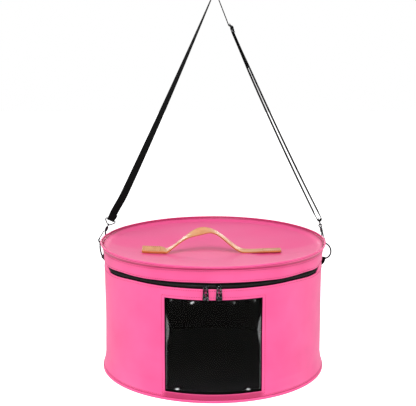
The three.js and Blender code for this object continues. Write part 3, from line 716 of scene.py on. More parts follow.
def dress(piece: Piece, finish: Finish, body: str = "box", replaces: tuple[str, ...] = ()) -> None:
    """Gives a piece its finish and its body, hides the CAD nodes that it stands for, and reports it.

    Args:
        piece: the piece.
        finish: its finish.
        body: the CAD body that it rides on.
        replaces: the CAD nodes that it stands for.
    """
    piece.data.materials.clear()
    piece.data.materials.append(finish.material())
    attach(piece, body)
    if replaces:
        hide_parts(*replaces)
    log.info("%s: %d faces, %s", piece.name, len(piece.data.polygons), finish.name)


def thicken(piece: Piece, thickness: float, edge: float = 0.0) -> None:
    """Gives an open sheet a thickness, half to each side, and round edges.

    Args:
        piece: the sheet.
        thickness: in millimetres.
        edge: how wide the round edges are, in millimetres; none where it is 0.
    """
    solid = piece.modifiers.new("thickness", "SOLIDIFY")
    solid.thickness = thickness * METRES
    solid.offset = 0
    solid.use_even_offset = True
    if edge:
        round_edges(piece, edge, 2, 50)


def round_edges(piece: Piece, width: float, segments: int, limit: float) -> None:
    """Rounds a piece's edges that turn by more than a limit in degrees. The width is in millimetres."""
    bevel = piece.modifiers.new("round_edges", "BEVEL")
    bevel.width = width * METRES
    bevel.segments = segments
    bevel.limit_method = "ANGLE"
    bevel.angle_limit = math.radians(limit)


def refined(node: str, name: str, edge: float) -> Piece:
    """A hard CAD node's shape with its loose triangles merged and its edges rounded.

    Args:
        node: the CAD node.
        name: the new piece's name.
        edge: how wide the round edges are, in millimetres.

    Returns:
        The new piece.
    """
    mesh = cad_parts[node].data.copy()
    mesh.name = name
    shell = bmesh.new()
    shell.from_mesh(mesh)
    bmesh.ops.remove_doubles(shell, verts=shell.verts, dist=2e-6)
    bmesh.ops.dissolve_limit(shell, angle_limit=math.radians(4), verts=shell.verts, edges=shell.edges)
    shell.to_mesh(mesh)
    shell.free()
    made = bpy.data.objects.new(name, mesh)
    bpy.context.scene.collection.objects.link(made)
    round_edges(made, edge, 3, 28)
    mesh.shade_smooth()
    return made


def joined(*runs: Array) -> Array:
    """Runs of numbers put together in order, without what repeats."""
    return np.unique(np.concatenate(runs))


def ring_line(radius: float, height: float, shift: Array | float = 0.0) -> tuple[Array, Array]:
    """A closed line round the drum whose height shifts with the angle, and the directions out of the drum."""
    ring = turned(np.array([[radius, height]]), WHOLE_TURN)[0]
    out = unit(ring * [1, 1, 0])
    ring[:, 2] += shift
    return ring, out


@dataclass
class Drum:
    """The drum under the zip: wall, base, linings and the strip that closes the back."""

    lid: "Lid"
    radius: float = 208.6
    thickness: float = 2.4
    foot_radius: float = 214.4
    foot_height: float = 25.0
    wall_bottom: float = 5.3
    wall_top: float = 209.0
    waist: float = 0.7
    window_half: float = 87.4
    window_bottom: float = 15.0
    window_top: float = 189.0
    stitch_inset: float = 4.6
    proud: float = 0.12
    lining_radius: float = 203.3
    welt_thickness: float = 2.8
    welt_height: float = 5.0
    strip_start: float = 67.2
    strip_bottom: float = 209.3
    strip_height: float = 8.9
    strip_slant: float = 0.085
    gap: float = 0.3
    thread: Stitching = field(default_factory=Stitching)

    def wall_radius(self, height: Array) -> Array:
        """The wall's outside radius at a height: the flared foot, then a shallow waist, half a sine wave."""
        flare = [self.foot_radius - 0.8, self.radius + 0.45 * (self.foot_radius - self.radius), self.radius]
        heights = self.wall_bottom + self.foot_height * np.array([0, 0.35, 1])
        foot = np.interp(height, heights, flare)
        share = np.clip((height - heights[-1]) / (self.wall_top - heights[-1]), 0, 1)
        return foot - self.waist * np.sin(np.pi * share)

    def walled(self, heights: Array, columns: int, inner: int) -> Array:
        """Which cells of a wall's grid have a face: all but those of the window's opening.

        Args:
            heights: the heights of the grid's rows.
            columns: how many columns the grid has.
            inner: how many of them, from the first on, span the opening.

        Returns:
            True where there is a face.
        """
        middle = (heights[:-1] + heights[1:]) / 2
        open_row = (middle > self.window_bottom) & (middle < self.window_top)
        return ~(open_row[:, None] & (np.arange(columns) < inner - 1)[None, :])

    def make_wall(self) -> None:
        """The wall: height and angle as the two parameters, with the window's cells left out.

        The angles are scaled at each height so that the window's sides stay upright. Slow waves of half a
        millimetre, sums of sines of the angle and the height, keep the cloth from being a perfect cylinder.
        The tone paints shade under the window, where the wall curves under, and in the crease of the foot
        above the piping.
        """
        heights = joined(
            np.linspace(self.wall_bottom, self.window_bottom, 9),
            np.linspace(self.window_bottom, self.window_top, 50),
            np.linspace(self.window_top, self.wall_top, 8),
        )
        edge = math.asin(self.window_half / self.radius)
        inner = np.linspace(-edge, edge, 42)
        outer = np.linspace(edge, 2 * np.pi - edge, 210)[1:-1]
        base = np.concatenate([inner, outer])
        radius = self.wall_radius(heights) - self.thickness / 2
        own_edge = np.arcsin(self.window_half / (radius + self.thickness / 2))[:, None]
        inside = base[None, :] * own_edge / edge
        outside = own_edge + (base[None, :] - edge) * (np.pi - own_edge) / (np.pi - edge)
        angle = np.where(np.abs(base)[None, :] <= edge, inside, outside)
        tall = heights[:, None]
        waves = 0.22 * np.sin(3 * angle + 0.03 * tall) + 0.16 * np.sin(7 * angle - 0.045 * tall + 1)
        waves = waves + 0.1 * np.sin(17 * angle + 0.02 * tall)
        fade = np.sin(np.pi * (tall - heights[0]) / (heights[-1] - heights[0]))
        wide = radius[:, None] + waves * fade
        high = tall + zip_dip(angle) * smoothstep(tall, 150, self.wall_top)
        points = np.stack([wide * np.sin(angle), -wide * np.cos(angle), high], axis=-1)
        # Painted shade: a deeper pink under the window, where the wall curves under, and in the crease at the
        # foot.
        below = (1 - smoothstep(tall, 13, 16)) * (points[..., 1] < 0)
        under = 0.95 * below * (1 - smoothstep(np.abs(points[..., 0]), 84, 92))
        foot = 0.55 * (1 - smoothstep(tall, 5.5, 8.5))
        keep = self.walled(heights, len(base), len(inner))
        surface = Surface().grid(points, wrap_columns=True, keep=keep, tone=np.maximum(under, foot))
        wall = surface.make("wall", closed=False)
        thicken(wall, self.thickness, 0.7)
        dress(wall, PINK, replaces=("body_wall",))

    def on_wall(self, x: Array, height: Array, lift: float = 0.0) -> tuple[Array, Array]:
        """Points of the front wall at given x and height, and the directions out of it."""
        radius = self.wall_radius(height) + lift
        y = -np.sqrt(radius**2 - x**2)
        out = unit(np.stack([x, y, 0 * x], axis=-1))
        return np.stack([x, y, height], axis=-1), out

    def make_stitches(self) -> None:
        """Stitches round the window and along the wall's upper edge."""
        surface = Surface()
        half = self.window_half + self.stitch_inset
        low, high = self.window_bottom - self.stitch_inset, self.window_top + self.stitch_inset
        for x0, z0, x1, z1 in (
            (-half, low, half, low),
            (-half, high, half, high),
            (-half, low, -half, high),
            (half, low, half, high),
        ):
            line = self.on_wall(np.linspace(x0, x1, 60), np.linspace(z0, z1, 60), self.proud)
            self.thread.sew(surface, *line)
        for height, shift in ((self.wall_top - 3.2, zip_dip(WHOLE_TURN)), (self.wall_bottom + 3, 0.0)):
            radius = float(self.wall_radius(height)) + self.proud
            self.thread.sew(surface, *ring_line(radius, height, shift))
        dress(surface.make("wall_stitches"), PINK_THREAD)

    def make_base(self) -> None:
        """The piping round the foot, and the level base inside it."""
        angle = around(240)
        inside, outside, top = self.foot_radius - self.welt_thickness, self.foot_radius, self.welt_height
        corners = np.array([[inside, 0], [outside, 0], [outside, top], [inside, top]])
        piping = Surface().grid(turned(fillet(corners, 1.6, 5), angle), wrap_rows=True, wrap_columns=True)
        dress(piping.make("base_piping"), PINK, replaces=("base_welt",))
        edge = inside - self.gap
        plate = np.array([[0, 0], [edge - 0.8, 0], [edge, 0.6], [edge, 2.0], [edge - 0.6, 2.5], [0, 2.5]])
        base = Surface().grid(turned(plate, angle), wrap_columns=True)
        dress(base.make("base_plate"), PINK, replaces=("base_panel",))

    def make_lining(self) -> None:
        """The black cloth inside: a floor, and a wall that is open behind the window."""
        edge = self.foot_radius - self.welt_thickness - self.gap
        low, high = 2.8, 3.8
        plate = np.array([[0, low], [edge / 2, low], [edge, low], [edge, high], [edge / 2, high], [0, high]])
        floor = Surface().grid(turned(plate, around(200)), wrap_columns=True)
        dress(floor.make("floor_lining"), LINING, replaces=("lining_floor",))
        radius = self.lining_radius - 0.5
        edge_angle = math.asin(self.window_half / radius)
        inner = np.linspace(-edge_angle, edge_angle, 30)
        outer = np.linspace(edge_angle, 2 * np.pi - edge_angle, 150)[1:-1]
        heights = joined([4.2], np.linspace(self.window_bottom, self.window_top, 20), [208.9])
        profile = np.stack([np.full(len(heights), radius), heights], axis=1)
        angle = np.concatenate([inner, outer])
        keep = self.walled(heights, len(angle), len(inner))
        lining = Surface().grid(turned(profile, angle), wrap_columns=True, keep=keep)
        lining = lining.make("wall_lining", closed=False)
        thicken(lining, 1.0)
        dress(lining, LINING, replaces=("lining_wall",))

    def make_hinge(self) -> None:
        """The strip of wall at the back, where there is no zip and the lid folds.

        It covers the zip's two ends and spans all that lies behind them, from the drum's dipped edge to the
        skirt's. A bell turns each end's upper corner back by 5 degrees, so that the end slants.
        """
        half = math.radians(self.strip_start)
        angle = np.linspace(half, 2 * np.pi - half, 240)
        low, tall = self.strip_bottom, self.strip_height
        line = np.array([[self.radius, low], [self.radius - 0.3, low + 4.4], [self.radius, low + tall]])
        outline = wall_outline(line, self.thickness, 0.7)
        wide, share = outline[:, :1], (outline[:, 1:] - low) / tall
        slant = self.strip_slant * bell(np.abs(signed(angle)), half, 0.12) * np.sign(signed(angle))
        turn = angle + share * slant
        dip = zip_dip(angle)
        height = low + dip + share * (tall + self.lid.edge_shift(angle) - dip)
        points = np.stack([wide * np.sin(turn), -wide * np.cos(turn), height], axis=-1)
        rows = np.swapaxes(points, 0, 1)
        dress(Surface().tube(rows).make("back_hinge"), PINK, replaces=("hinge_strip",))

    def make(self) -> None:
        """Makes every piece of the drum."""
        self.make_wall()
        self.make_stitches()
        self.make_base()
        self.make_lining()
        self.make_hinge()


@dataclass(frozen=True)
class Mark:
    """A place on the film, its half width and half height in millimetres, and how deep or bright it is."""

    x: float
    height: float
    wide: float
    tall: float
    amount: float

    def spread(self, x: Array, height: Array) -> Array:
        """The squared distance from the mark's middle, in half widths and half heights."""
        return ((x - self.x) / self.wide) ** 2 + ((height - self.height) / self.tall) ** 2


@dataclass
class Window:
    """The clear window: a black binding and a film behind the wall's opening.

    The dents are where the film is caught in its seams, and the glints are painted highlights, white spots on
    such dents.
    """

    half_width: float = 87.4
    bottom: float = 15.0
    top: float = 189.0
    seam: float = 9.0
    reveal: float = 2.8
    binding_radius: float = 205.2
    film_radius: float = 204.1
    crease_height: float = 128.0
    crease_half: float = 30.0
    dents: tuple[Mark, ...] = (
        Mark(-37.6, 182.0, 4.6, 4.2, 4.2),
        Mark(-74.8, 183.0, 3.2, 4.2, 2.6),
        Mark(35.6, 182.0, 3.0, 4.2, 2.2),
        Mark(73.9, 183.0, 3.2, 4.2, 2.6),
        Mark(-62.0, 22.0, 3.6, 4.2, 2.8),
        Mark(60.0, 22.0, 3.6, 4.2, 2.8),
        Mark(-4.0, 150.0, 30.0, 4.2, 1.2),
    )
    # Painted glints: white spots where the tone is raised.
    glints: tuple[Mark, ...] = (
        Mark(-38.4, 181.0, 2.7, 1.9, 1.0),
        Mark(-35.6, 182.6, 1.8, 1.9, 0.9),
        Mark(-74.6, 183.2, 1.7, 1.9, 0.3),
        Mark(36.4, 181.4, 2.2, 1.9, 0.22),
        Mark(73.4, 183.4, 1.6, 1.9, 0.3),
        Mark(-65.0, 18.8, 3.8, 1.9, 0.9),
        Mark(62.5, 18.8, 3.4, 1.9, 0.7),
    )

    def sheet(self, radius: float, across: Array, heights: Array) -> Array:
        """A sheet bent to the drum: x across and height up, with y from the radius."""
        x, height = np.meshgrid(across, heights)
        return np.stack([x, -np.sqrt(radius**2 - x**2), height], axis=-1)

    def __post_init__(self) -> None:
        """Works out the reach of both sheets and of the clear field inside the binding."""
        self.half = self.half_width + self.seam
        self.low, self.high = self.bottom - self.seam + 1.5, self.top + self.seam
        self.clear = self.half_width - self.reveal

    def make_binding(self) -> None:
        """The binding: a sheet of black tape with the cells of the clear field left out."""
        clear, half = self.clear, self.half
        low, high = self.bottom + self.reveal, self.top - self.reveal
        across = joined(
            np.linspace(-half, -clear, 6), np.linspace(-clear, clear, 40), np.linspace(clear, half, 6)
        )
        heights = joined(
            np.linspace(self.low, low, 6), np.linspace(low, high, 30), np.linspace(high, self.high, 6)
        )
        x, height = (across[:-1] + across[1:]) / 2, (heights[:-1] + heights[1:]) / 2
        opening = (np.abs(x) < clear)[None, :] & ((height > low) & (height < high))[:, None]
        binding = Surface().grid(self.sheet(self.binding_radius - 0.4, across, heights), keep=~opening)
        band = binding.make("window_binding_band", closed=False)
        thicken(band, 0.8, 0.2)
        dress(band, BINDING, replaces=("window_binding",))

    def make_film(self) -> None:
        """The film: slack in its middle, dented near its seams and crumpled in its lower corners.

        The dents are bells, and the crumple is two crossed sine waves. The tone paints light on the film in
        four
        ways, all white: painted glare in a lens along each side and in a line at the side below it, painted
        highlights in streaks on the crumple, and painted glints with a flat top, e to the power of minus the
        fourth power of the distance.
        """
        across = np.linspace(-self.half, self.half, 170)
        heights = np.linspace(self.low, self.high, 170)
        points = self.sheet(self.film_radius - 0.25, across, heights)
        x, height = points[..., 0], points[..., 2]
        dents = sum(dent.amount * np.exp(-dent.spread(x, height)) for dent in self.dents)
        rise = (height - self.low) / (self.high - self.low)
        slack = 0.8 * np.cos(np.pi * x / (2 * self.half)) * np.sin(np.pi * rise)
        corner = bell(np.abs(x), 84, 22) * bell(height, 18, 18)
        crumple = corner * (np.sin(0.34 * x + 0.5 * height) + 0.7 * np.sin(0.52 * x - 0.31 * height + 2))
        points[..., 1] += dents + slack + 0.55 * crumple
        side = np.abs(x) - self.clear
        lens = 1 - np.clip(np.abs(height - self.crease_height) / self.crease_half, 0, 1) ** 2
        # Painted reflections: glare in a lens at each side and a line below it, highlights on the crumple,
        # glints.
        painted_glare = 0.16 * smoothstep(lens * 6.6 + side, 0.0, 1.4) * (lens > 0)
        line = 0.14 * smoothstep(side + 1.5, 0.0, 0.8) * (height < self.crease_height)
        streaks = 0.07 * corner * smoothstep(crumple, 0.8, 1.5)
        glints = [glint.amount * np.exp(-(glint.spread(x, height) ** 2)) for glint in self.glints]
        tone = np.max([painted_glare, line, streaks, *glints], axis=0)
        film = Surface().grid(points, tone=tone).make("window_clear_film", closed=False)
        thicken(film, 0.5)
        dress(film, FILM, replaces=("window_film",))

    def make(self) -> None:
        """Makes the binding and the film."""
        self.make_binding()
        self.make_film()


@dataclass
class Zip:
    """The zip: two tapes, a coil, and two sliders whose pulls hang."""

    half_angle: float = 82.0
    bottom: float = 209.3
    top: float = 218.2
    seam: float = 8.0
    tape_radius: float = 205.9
    pitch: float = 2.6
    turn_out: float = 0.95
    turn_shift: float = 0.75
    turn_size: tuple[float, float, float] = (1.35, 0.62, 0.6)
    core_half: float = 1.9

    def band(self, outline: Array, angle: Array) -> Array:
        """An outline of (radius, height) carried along the zip, with its dip: one row for each angle."""
        points = turned(outline, angle)
        points[..., 2] += zip_dip(angle)
        return np.swapaxes(points, 0, 1)

    def make_tapes(self) -> None:
        """The tapes: two thin turned bands that nearly meet under the coil, in woven twill."""
        middle = (self.bottom + self.top) / 2
        angle = np.radians(np.linspace(-self.half_angle, self.half_angle, 320))
        for name, node, far, near in (
            ("tape_under", "zip_tape_lower", self.bottom - self.seam, middle - 0.15),
            ("tape_over", "zip_tape_upper", self.top + self.seam, middle + 0.15),
        ):
            line = np.stack([np.full(2, self.tape_radius), [far, near]], axis=1)
            tape = Surface().tube(self.band(wall_outline(line, 1.0, 0.4), angle))
            dress(tape.make(name), TAPE, replaces=(node,))

    def make_coil(self) -> None:
        """The coil: two rows of nylon turns that mesh, each turn a bead across the seam, and a flat core."""
        middle = (self.bottom + self.top) / 2
        surface = Surface()
        radius = self.tape_radius + self.turn_out
        span = math.radians(self.half_angle) * 0.998
        count = int(2 * span * radius / self.pitch)
        up = np.tile([0.0, 0.0, 1.0], (count, 1))
        tall, wide, thick = self.turn_size
        for row, shift in ((-1, 0.0), (1, 0.5)):
            angle = (np.arange(count) + shift + 0.25) / count * 2 * span - span
            out = np.stack([np.sin(angle), -np.cos(angle), 0 * angle], axis=1)
            along = np.stack([np.cos(angle), np.sin(angle), 0 * angle], axis=1)
            places = out * radius + up * (middle + zip_dip(angle) + row * self.turn_shift)[:, None]
            surface.copies(*bead(), places, np.stack([up * tall, along * wide, out * thick], axis=1))
        inner, outer = self.tape_radius + 0.35, self.tape_radius + 0.75
        low, high = middle - self.core_half, middle + self.core_half
        core = np.array([[inner, low], [outer, low], [outer, high], [inner, high]])
        surface.tube(self.band(core, np.linspace(-span, span, 240)))
        dress(surface.make("zip_coil_turns"), COIL, replaces=("zip_coil",))

    def make(self) -> None:
        """Makes the tapes, the coil, and the sliders and pulls with their edges rounded."""
        self.make_tapes()
        self.make_coil()
        for side in ("left", "right"):
            slider = refined(f"zip_slider_{side}", f"slider_{side}", 0.35)
            dress(slider, METAL, replaces=(f"zip_slider_{side}",))
            pull = refined(f"zip_pull_{side}", f"pull_{side}", 0.3)
            dress(pull, METAL, f"zip_pull_{side}", (f"zip_pull_{side}",))


@dataclass
class Lid:
    """The lid: a skirt over the zip, a standing rim and a dished panel."""

    body_radius: float = 208.6
    skirt_bottom: float = 218.5
    skirt_top: float = 236.5
    flare: float = 2.2
    skirt_thickness: float = 2.2
    rim_bottom: float = 236.8
    rim_top: float = 247.8
    rim_radius: float = 215.5
    rim_thickness: float = 2.6
    pipe_radius: float = 1.5
    edge_height: float = 242.8
    panel_thickness: float = 2.2
    sag: float = 19.0
    valley: float = 15.0
    crease: float = 5.0
    front_rise: float = 4.2
    thread: Stitching = field(default_factory=lambda: Stitching(4.0, 2.9, 0.4))

    def __post_init__(self) -> None:
        """Works out the rim's outside radius at its foot."""
        self.rim_foot = self.body_radius + self.flare + 0.4

    def depth(self, x: Array, y: Array) -> Array:
        """How far the panel lies below its edge: a valley under the handle that rises all round.

        The valley is level at the handle's ends. Between them it narrows to a crease just behind the handle.
        """
        edge = self.rim_radius - self.rim_thickness - 0.6
        between = 1 - smoothstep(np.abs(x), 62, 92)
        half_width = self.valley - (self.valley - 1.5) * between
        reach = np.sqrt(np.maximum(edge**2 - x**2, 1))
        along = 1 - np.abs(x / edge) ** 5
        beyond = np.maximum(np.abs(y - self.crease * between) - half_width, 0)
        across = 1 - np.minimum(beyond / np.maximum(reach - half_width, 1), 1) ** 1.15
        return self.sag * np.maximum(along, 0) * across

    def edge_shift(self, angle: Array) -> Array:
        """How far the skirt's lower edge moves up: a bell over the sliders, then two steps down."""
        away = np.abs(signed(angle))
        level = 2.2 * bell(away, 0.1, 0.33) - 0.95 * smoothstep(away, 0.45, 0.65)
        return (level - 3.9 * smoothstep(away, 0.88, 1.2)) * (1 - at_back(angle))

    def lifted(self, angle: Array) -> Array:
        """How far the rim stands up at the front: a raised cosine of the angle to the power 2.5."""
        return self.front_rise * (0.5 + 0.5 * np.cos(angle)) ** 2.5

    def front_bell(self, angle: Array) -> Array:
        """How far the seam under the rim stands up beyond what the rim does: a bell at the front."""
        return 4.1 * bell(signed(angle), 0, 0.65)

    def foot_lift(self, angle: Array) -> Array:
        """How far the seam under the rim stands up."""
        return self.lifted(angle) + self.front_bell(angle)

    def make_skirt(self) -> None:
        """The skirt, with slow waves of half a millimetre round it, and its stitches.

        Its lower edge moves by edge_shift and its upper one by foot_lift, with a smooth step between them.
        The tone paints shade in the crease under the rim.
        """
        angle = around(300)
        line = np.array(
            [
                [self.body_radius, self.skirt_bottom],
                [self.body_radius + 0.35 * self.flare, self.skirt_bottom + 8.4],
                [self.body_radius + self.flare, self.skirt_top],
            ]
        )
        points = turned(wall_outline(line, self.skirt_thickness, 0.8), angle)
        waves = 1 + (0.3 * np.sin(5 * angle + 1) + 0.2 * np.sin(13 * angle)) / self.body_radius
        points[..., :2] *= waves[None, :, None]
        share = smoothstep(points[..., 2], self.skirt_bottom, self.skirt_top)
        points[..., 2] += (1 - share) * self.edge_shift(angle) + share * self.foot_lift(angle)
        # Painted shade: a deeper pink in the crease under the rim.
        tone = 0.6 * bell(points[..., 2], self.skirt_top + self.foot_lift(angle), 0.8)
        skirt = Surface().grid(points, wrap_rows=True, wrap_columns=True, tone=tone)
        dress(skirt.make("skirt"), PINK, replaces=("lid_skirt",))
        surface = Surface()
        for radius, height, shift in (
            (self.body_radius + 0.5, self.skirt_bottom + 3.0, self.edge_shift(WHOLE_TURN)),
            (self.body_radius + 2.1, self.skirt_top - 2.6, self.foot_lift(WHOLE_TURN)),
        ):
            self.thread.sew(surface, *ring_line(radius, height, shift))
        dress(surface.make("skirt_stitches"), PINK_THREAD)

    def make_rim(self) -> None:
        """The standing rim: a band with a piped edge on top, and a groove under the piping.

        The profile is the band's outside line, the groove, most of a circle for the piping, and the inside
        line. The tone paints shade at the foot's seam, on the band's inside and, a little, in the groove.
        """
        angle = around(300)
        foot, pipe = self.rim_foot, self.pipe_radius
        at, top = self.rim_radius - pipe + 0.1, self.rim_top - pipe
        arc = np.radians(np.linspace(-48, 228, 9))
        piping = [at, top] + pipe * np.stack([np.cos(arc), np.sin(arc)], axis=1)
        half_way = (foot + self.rim_radius) / 2
        bend = self.rim_bottom + 4.95
        outside = np.array([[foot, self.rim_bottom], [half_way, bend], [at + 0.9, top - 2.3]])
        groove_height = top - 1.75
        groove = np.array([[at + 0.1, groove_height]])
        inside = (outside - [self.rim_thickness, 0])[::-1]
        profile = fillet(np.concatenate([outside, groove, piping, inside]), 0.5, 3)
        points = turned(profile, angle)
        radius, height = profile[:, :1], profile[:, 1:]
        # Painted shade: a deeper pink in the groove, on the band's inside facing the panel, and at the foot's
        # seam.
        groove_painted_shade = 0.3 * bell(height, groove_height, 0.7) * (radius > at - 0.4)
        inner_painted_shade = 0.95 * (radius < at - 0.9) * (height < top + 0.8)
        foot_painted_shade = 0.6 * bell(height, self.rim_bottom, 0.7)
        tone = np.max([groove_painted_shade, inner_painted_shade, foot_painted_shade], axis=0)
        waves = 1 + (0.35 * np.sin(4 * angle + 2) + 0.2 * np.sin(11 * angle)) / self.rim_radius
        points[..., :2] *= waves[None, :, None]
        lowest = 1 - smoothstep(height, self.rim_bottom, self.rim_top - 2.5)
        points[..., 2] += self.lifted(angle) + self.front_bell(angle) * lowest
        rim = Surface().grid(points, wrap_rows=True, wrap_columns=True, tone=tone)
        dress(rim.make("rim"), PINK, replaces=("lid_welt",))
        surface = Surface()
        self.thread.sew(surface, *ring_line(at + 0.35, top - 1.9, self.lifted(WHOLE_TURN)))
        dress(surface.make("rim_stitches"), PINK_THREAD)

    def make_panel(self) -> None:
        """The panel: radius and angle as the two parameters, lowered by depth, with slow waves in it.

        Its edge turns up into the rim by a smooth step, and the tone paints shade in the narrow groove there.
        """
        angle = around(240)
        outer = self.rim_foot + 1.6 - self.rim_thickness
        share = np.linspace(0.002, 1, 90)[:, None]
        radius = share * outer
        x, y = radius * np.sin(angle), -radius * np.cos(angle)
        away = smoothstep(np.hypot(x, y), 20, 120) * (1 - smoothstep(radius, outer - 30, outer - 6))
        waves = 0.5 * np.sin(x / 31 + y / 47) + 0.35 * np.sin(y / 19 - x / 60 + 1)
        turned_edge = 2.9 * smoothstep(radius, outer - 12, outer) - 1.2
        level = self.edge_height - self.panel_thickness / 2
        height = level - self.depth(x, y) + waves * away + turned_edge
        height = height + self.lifted(angle) * smoothstep(radius, 60, outer)
        points = np.stack([x, y, height], axis=-1)
        pole = np.broadcast_to(points[:1].mean(axis=1, keepdims=True), (1, *points.shape[1:]))
        # Painted shade: a deeper pink along the edge, in the groove against the rim.
        tone = 0.8 * smoothstep(np.concatenate([radius[:1], radius]), outer - 3.5, outer - 0.5)
        surface = Surface().grid(np.concatenate([pole, points]), wrap_columns=True, tone=tone)
        panel = surface.make("panel")
        thicken(panel, self.panel_thickness, 0.5)
        dress(panel, PANEL, replaces=("lid_panel",))

    def make(self) -> None:
        """Makes every piece of the lid."""
        self.make_skirt()
        self.make_rim()
        self.make_panel()


@dataclass
class Handle:
    """The leather handle: a strap with doubled, sewn ends and an arch that has a soft twist in it."""

    lid: Lid
    width: float = 24.0
    thickness: float = 2.4
    end_thickness: float = 5.4
    right_end_thickness: float = 3.4
    left: float = -136.0
    right: float = 131.0
    end_length: float = 40.0
    peak: float = -10.0
    rise: float = 40.0
    left_raise: float = 2.2
    left_lean: float = 13.0
    left_aside: float = 9.0
    thread: Stitching = field(default_factory=lambda: Stitching(3.6, 2.7, 0.4))

    def middle(self, x: Array) -> tuple[Array, Array]:
        """The height of the strap's middle and its thickness at x.

        It lies on the lid, and the arch adds a quarter sine wave on each side of its peak, to the power 1.1
        on the steep left and 1.8 on the right. The doubled left end is a thick block, the right end flatter.
        """
        start, end = self.left + self.end_length + 6, self.right - self.end_length - 30
        span = np.where(x < self.peak, self.peak - start, end - self.peak)
        share = np.clip(1 - np.abs(x - self.peak) / span, 0, 1)
        lift = self.rise * np.sin(np.pi / 2 * share) ** np.where(x < self.peak, 1.1, 1.8)
        inset = np.minimum(x - self.left, self.right - x)
        blend = smoothstep(inset, self.end_length - 8, self.end_length + 16)
        end_thick = np.where(x < self.peak, self.end_thickness, self.right_end_thickness)
        thick = end_thick + (self.thickness - end_thick) * blend
        seat = self.lid.edge_height - self.lid.depth(x, 0 * x) + 0.6
        return seat + lift + thick / 2, thick

    def left_end(self, x: Array) -> Array:
        """A smooth step: 1 on the left end and 0 from the arch's foot on."""
        return 1 - smoothstep(x, -104, -72)

    def path(self, x: Array) -> tuple[Array, Array, Array, Array]:
        """The strap's middle line at x, the direction of its width, the direction off it and its thickness.

        The line lies to the back by a bell at the arch's twist and to the front at the left end. The width
        leans to the front by two bells on the arch, and evenly on the left end, which is also a bit higher.
        """
        height, thick = self.middle(x)
        aside = 2.5 * bell(x, -36, 30) - self.left_aside * (1 - smoothstep(x, -112, -48))
        lean = np.radians(30 * bell(x, -26, 20) + 9 * bell(x, 40, 30) + self.left_lean * self.left_end(x))
        line = np.stack([x, aside, height + self.left_raise * self.left_end(x)], axis=1)
        across = np.stack([0 * x, np.cos(lean), np.sin(lean)], axis=1)
        off = np.stack([0 * x, -np.sin(lean), np.cos(lean)], axis=1)
        return line, across, off, thick

    def make(self) -> None:
        """Makes the strap by carrying a soft-edged band along the arch, and sews its ends."""
        x = np.linspace(self.left, self.right, 260)
        line, across, _, thick = self.path(x)
        inset = np.minimum(x - self.left, self.right - x)
        waist = 1 - 0.1 * smoothstep(inset, self.end_length, self.end_length + 30)
        corner = 1 - 0.12 * (1 - smoothstep(inset, 0, 3)) ** 2
        size = np.stack([self.width * waist * corner, thick], axis=1)
        section = flat_section(0.06, 6, 8)
        rim = smoothstep(np.abs(section[:, 0]), 0.43, 0.47)
        surface = Surface().tube(swept(line, across, section, size), tone=rim)
        dress(surface.make("handle_strap"), TAN, replaces=("handle",))
        threads = Surface()
        near, far = 3.5, self.end_length - 5
        self.sew_box(threads, self.left + near, self.left + far)
        self.sew_box(threads, self.right - far, self.right - near)
        dress(threads.make("handle_stitches"), TAN_THREAD)

    def sew_box(self, threads: Surface, start: float, end: float) -> None:
        """Sews a rectangle on an end of the handle, between two values of x."""
        half = self.width / 2 - 3.6
        for x0, y0, x1, y1 in (
            (start, -half, end, -half),
            (start, half, end, half),
            (start, -half, start, half),
            (end, -half, end, half),
        ):
            line, across, off, thick = self.path(np.linspace(x0, x1, 20))
            beside = np.linspace(y0, y1, 20)[:, None]
            self.thread.sew(threads, line + beside * across + (thick / 2 + 0.1)[:, None] * off, off)


